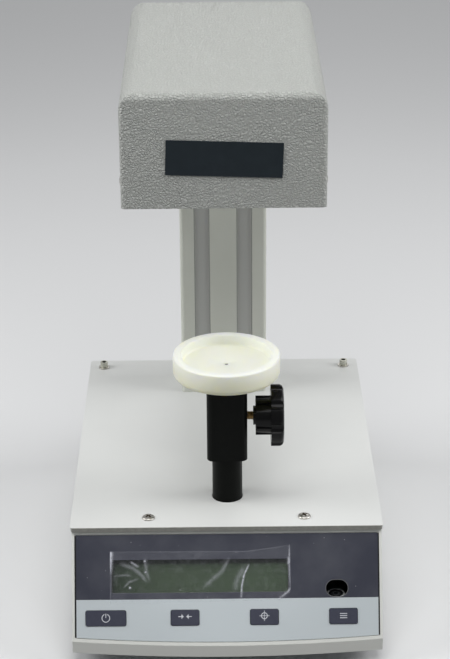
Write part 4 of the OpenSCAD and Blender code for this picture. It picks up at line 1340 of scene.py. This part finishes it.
def makeCrossCutters(radius, height):
    cutters = []
    for turn in (0, math.pi / 2):
        deselectAll()
        bpy.ops.mesh.primitive_cube_add(size=1)
        cutter = bpy.context.object
        length = 2 * radius * crossSizes["length"]
        cutter.scale = (length, 2 * radius * crossSizes["width"], height * 2)
        cutter.location = (0, 0, height * (1 - crossSizes["depth"]))
        cutter.rotation_euler = (0, 0, turn)
        settle(cutter)
        for vertex in cutter.data.vertices:
            if vertex.co.z < 0:
                vertex.co.x *= crossSizes["taper"]
                vertex.co.y *= crossSizes["taper"]
        # the recess faces take a dark finish as painted shade
        giveFinishes(cutter, ["nickel", "recess"])
        for polygon in cutter.data.polygons:
            polygon.material_index = 1
        cutters.append(cutter)
    return cutters


def domeProfile(shape):  # shank, flat underside, short skirt and dome
    radius = shape["head"]
    tall = shape["height"]
    skirt = domeSizes["skirt"]
    profile = [(0, -shape["reach"]), (shape["shank"], -shape["reach"])]
    profile += [(shape["shank"], 0), (radius, 0), (radius, tall * skirt)]
    step = domeSizes["turnStep"]
    for degrees in range(step, 90, step):
        turn = math.radians(degrees)
        profile.append((radius * math.cos(turn), tall * (skirt + (1 - skirt) * math.sin(turn))))
    return profile + [(0, tall)]


def makeScrews(node, name, shape, spots):
    screws = []
    for place, outward, turn in spots:
        screw = turned(name, domeProfile(shape), domeSizes["steps"])
        giveFinishes(screw, ["nickel", "recess"])
        for cutter in makeCrossCutters(shape["head"], shape["height"]):
            applied(screw, "BOOLEAN", {"operation": "DIFFERENCE", "object": cutter})
            bpy.data.objects.remove(cutter)
        screw.matrix_world = (
            Matrix.Translation(place)
            @ Vector(outward).to_track_quat("Z", "Y").to_matrix().to_4x4()
            @ Matrix.Rotation(math.radians(turn), 4, "Z")
        )
        settle(screw)
        screws.append(screw)
    piece = joined(screws)
    piece.name = name
    smoothed(piece, domeSizes["smooth"])
    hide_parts(node)
    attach(piece, frame["nodes"][node]["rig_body"])


def frontScrewSpots():  # place, direction and turn of each screw
    low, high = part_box("plate_screws")
    half = (high.x - low.x) / 2 - frontScrew["head"]
    middle = middleOf("plate_screws").y
    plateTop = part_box("top_plate")[1].z
    return [
        ((x, middle, plateTop), (0, 0, 1), turn)
        for x, turn in zip((-half, half), frontScrew["turns"])
    ]


def coverScrewSpots():
    low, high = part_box("cover_screws")
    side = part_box("head_cover")[1].x
    middle = middleOf("cover_screws").z
    rightTurn, leftTurn = coverScrew["turns"]
    spots = []
    for y in (low.y + coverScrew["head"], high.y - coverScrew["head"]):
        spots.append(((side, y, middle), (1, 0, 0), rightTurn))
        spots.append(((-side, y, middle), (-1, 0, 0), leftTurn))
    return spots


makeScrews("plate_screws", "frontScrews", frontScrew, frontScrewSpots())
makeScrews("cover_screws", "coverScrews", coverScrew, coverScrewSpots())

print("screws made")


# Nodes that keep their own shape

keptNodes = {
    "overlay": ["front_overlay"],
    "pane": ["display_window"],
    "display": ["lcd_module"],
    "board": ["key_board", "main_board"],
    "moulding": ["key_switches"],
    "liquid": ["level_glass"],
    "zinc": ["level_bracket", "lift_frame", "pillars"],
    "brass": ["board_standoffs", "foot_inserts", "lift_nut", "clamp_pad"],
    "motor": ["lift_motor"],
    "bronze": ["guide_bush"],
    "nickel": ["column_bolts", "head_bolts"],
    "ground": ["lead_screw"],
    "dark": ["tray_stud"],
}
for finish, nodes in keptNodes.items():
    for node in nodes:
        for slot in frame["nodes"][node].material_slots:
            slot.material = finishes[finish].material

print("kept nodes dressed")


# Floor, lamps and world

stageSettings = {
    "floorSize": 7.0,
    "floorParts": 8,
    "floorColor": (0.76, 0.765, 0.77),
    "floorDarker": 0.985,
    "floorMottle": 0.4,
    "floorRoughness": 0.6,
    "floorShade": (0.22, 0.22, 0.22),  # what the floor gives back to the object
    "fadeStart": 0.9,  # from here the floor runs into the backdrop
    "fadeEnd": 2.6,
    "ambient": 0.1,
    "ambientColor": (0.93, 0.96, 1.0),
    "backdrop": (0.36, 0.365, 0.37),
}
lampSettings = [
    # name, place, point aimed at, width, power in watts
    ("overheadLamp", (0, -0.72, 1.8), (0, -0.05, 0.15), 1.5, 20),
    ("leftLamp", (-1.3, -0.1, 0.95), (0, 0, 0.15), 0.9, 12.5),
    ("rightLamp", (1.3, -0.1, 0.95), (0, 0, 0.15), 0.9, 12.5),
    ("rearLamp", (0.3, 1.9, 1.4), (0, 0.1, 0.2), 1.0, 4.5),
]


reflectedRays = ("Is Glossy Ray", "Is Transmission Ray")  # they see what the camera sees


def addFloor(settings):
    deselectAll()
    parts = settings["floorParts"]
    bpy.ops.mesh.primitive_grid_add(
        x_subdivisions=parts, y_subdivisions=parts, size=settings["floorSize"]
    )
    floor = bpy.context.object
    floor.name = "studioFloor"
    finish = Finish("studioFloor", roughness=settings["floorRoughness"])
    color = settings["floorColor"]
    mottle = finish.noise(settings["floorMottle"])
    pale = finish.mixed(mottle, color, tinted(color, settings["floorDarker"]))
    seen = finish.node("LightPath", output="Is Camera Ray")
    for ray in reflectedRays:
        seen = finish.maths("MAXIMUM", seen, finish.node("LightPath", output=ray))
    x = finish.axis("X")
    y = finish.axis("Y")
    far = finish.ramp((x * x + y * y) ** 0.5, settings["fadeStart"], settings["fadeEnd"])
    near = finish.mixed(seen, settings["floorShade"], pale)
    finish.give({
        "Base Color": finish.mixed(far, near, (0, 0, 0)),
        "Emission Color": finish.mixed(far * seen, (0, 0, 0), settings["backdrop"]),
        "Emission Strength": 1.0,
    })
    floor.data.materials.append(finish.material)


def addLamp(name, place, aim, width, power):
    data = bpy.data.lights.new(name, "AREA")
    data.size = width
    data.energy = power
    light = linked(name, data)
    light.location = place
    light.rotation_euler = (Vector(aim) - Vector(place)).to_track_quat("-Z", "Y").to_euler()


def addWorld(settings):
    world = bpy.data.worlds.new("studioWorld")
    bpy.context.scene.world = world
    world.use_nodes = True
    tree = world.node_tree
    link = tree.links.new
    background = tree.nodes["Background"]
    background.inputs["Color"].default_value = (*settings["ambientColor"], 1)
    background.inputs["Strength"].default_value = settings["ambient"]
    shown = tree.nodes.new("ShaderNodeBackground")
    shown.inputs["Color"].default_value = (*settings["backdrop"], 1)
    path = tree.nodes.new("ShaderNodeLightPath")
    seen = path.outputs["Is Camera Ray"]
    for ray in reflectedRays:
        both = tree.nodes.new("ShaderNodeMath")
        both.operation = "MAXIMUM"
        link(seen, both.inputs[0])
        link(path.outputs[ray], both.inputs[1])
        seen = both.outputs[0]
    either = tree.nodes.new("ShaderNodeMixShader")
    link(seen, either.inputs[0])
    link(background.outputs[0], either.inputs[1])
    link(shown.outputs[0], either.inputs[2])
    link(either.outputs[0], tree.nodes["World Output"].inputs["Surface"])


addFloor(stageSettings)
for lamp in lampSettings:
    addLamp(*lamp)
addWorld(stageSettings)
bpy.context.scene.view_settings.view_transform = "Standard"

print("studio set")
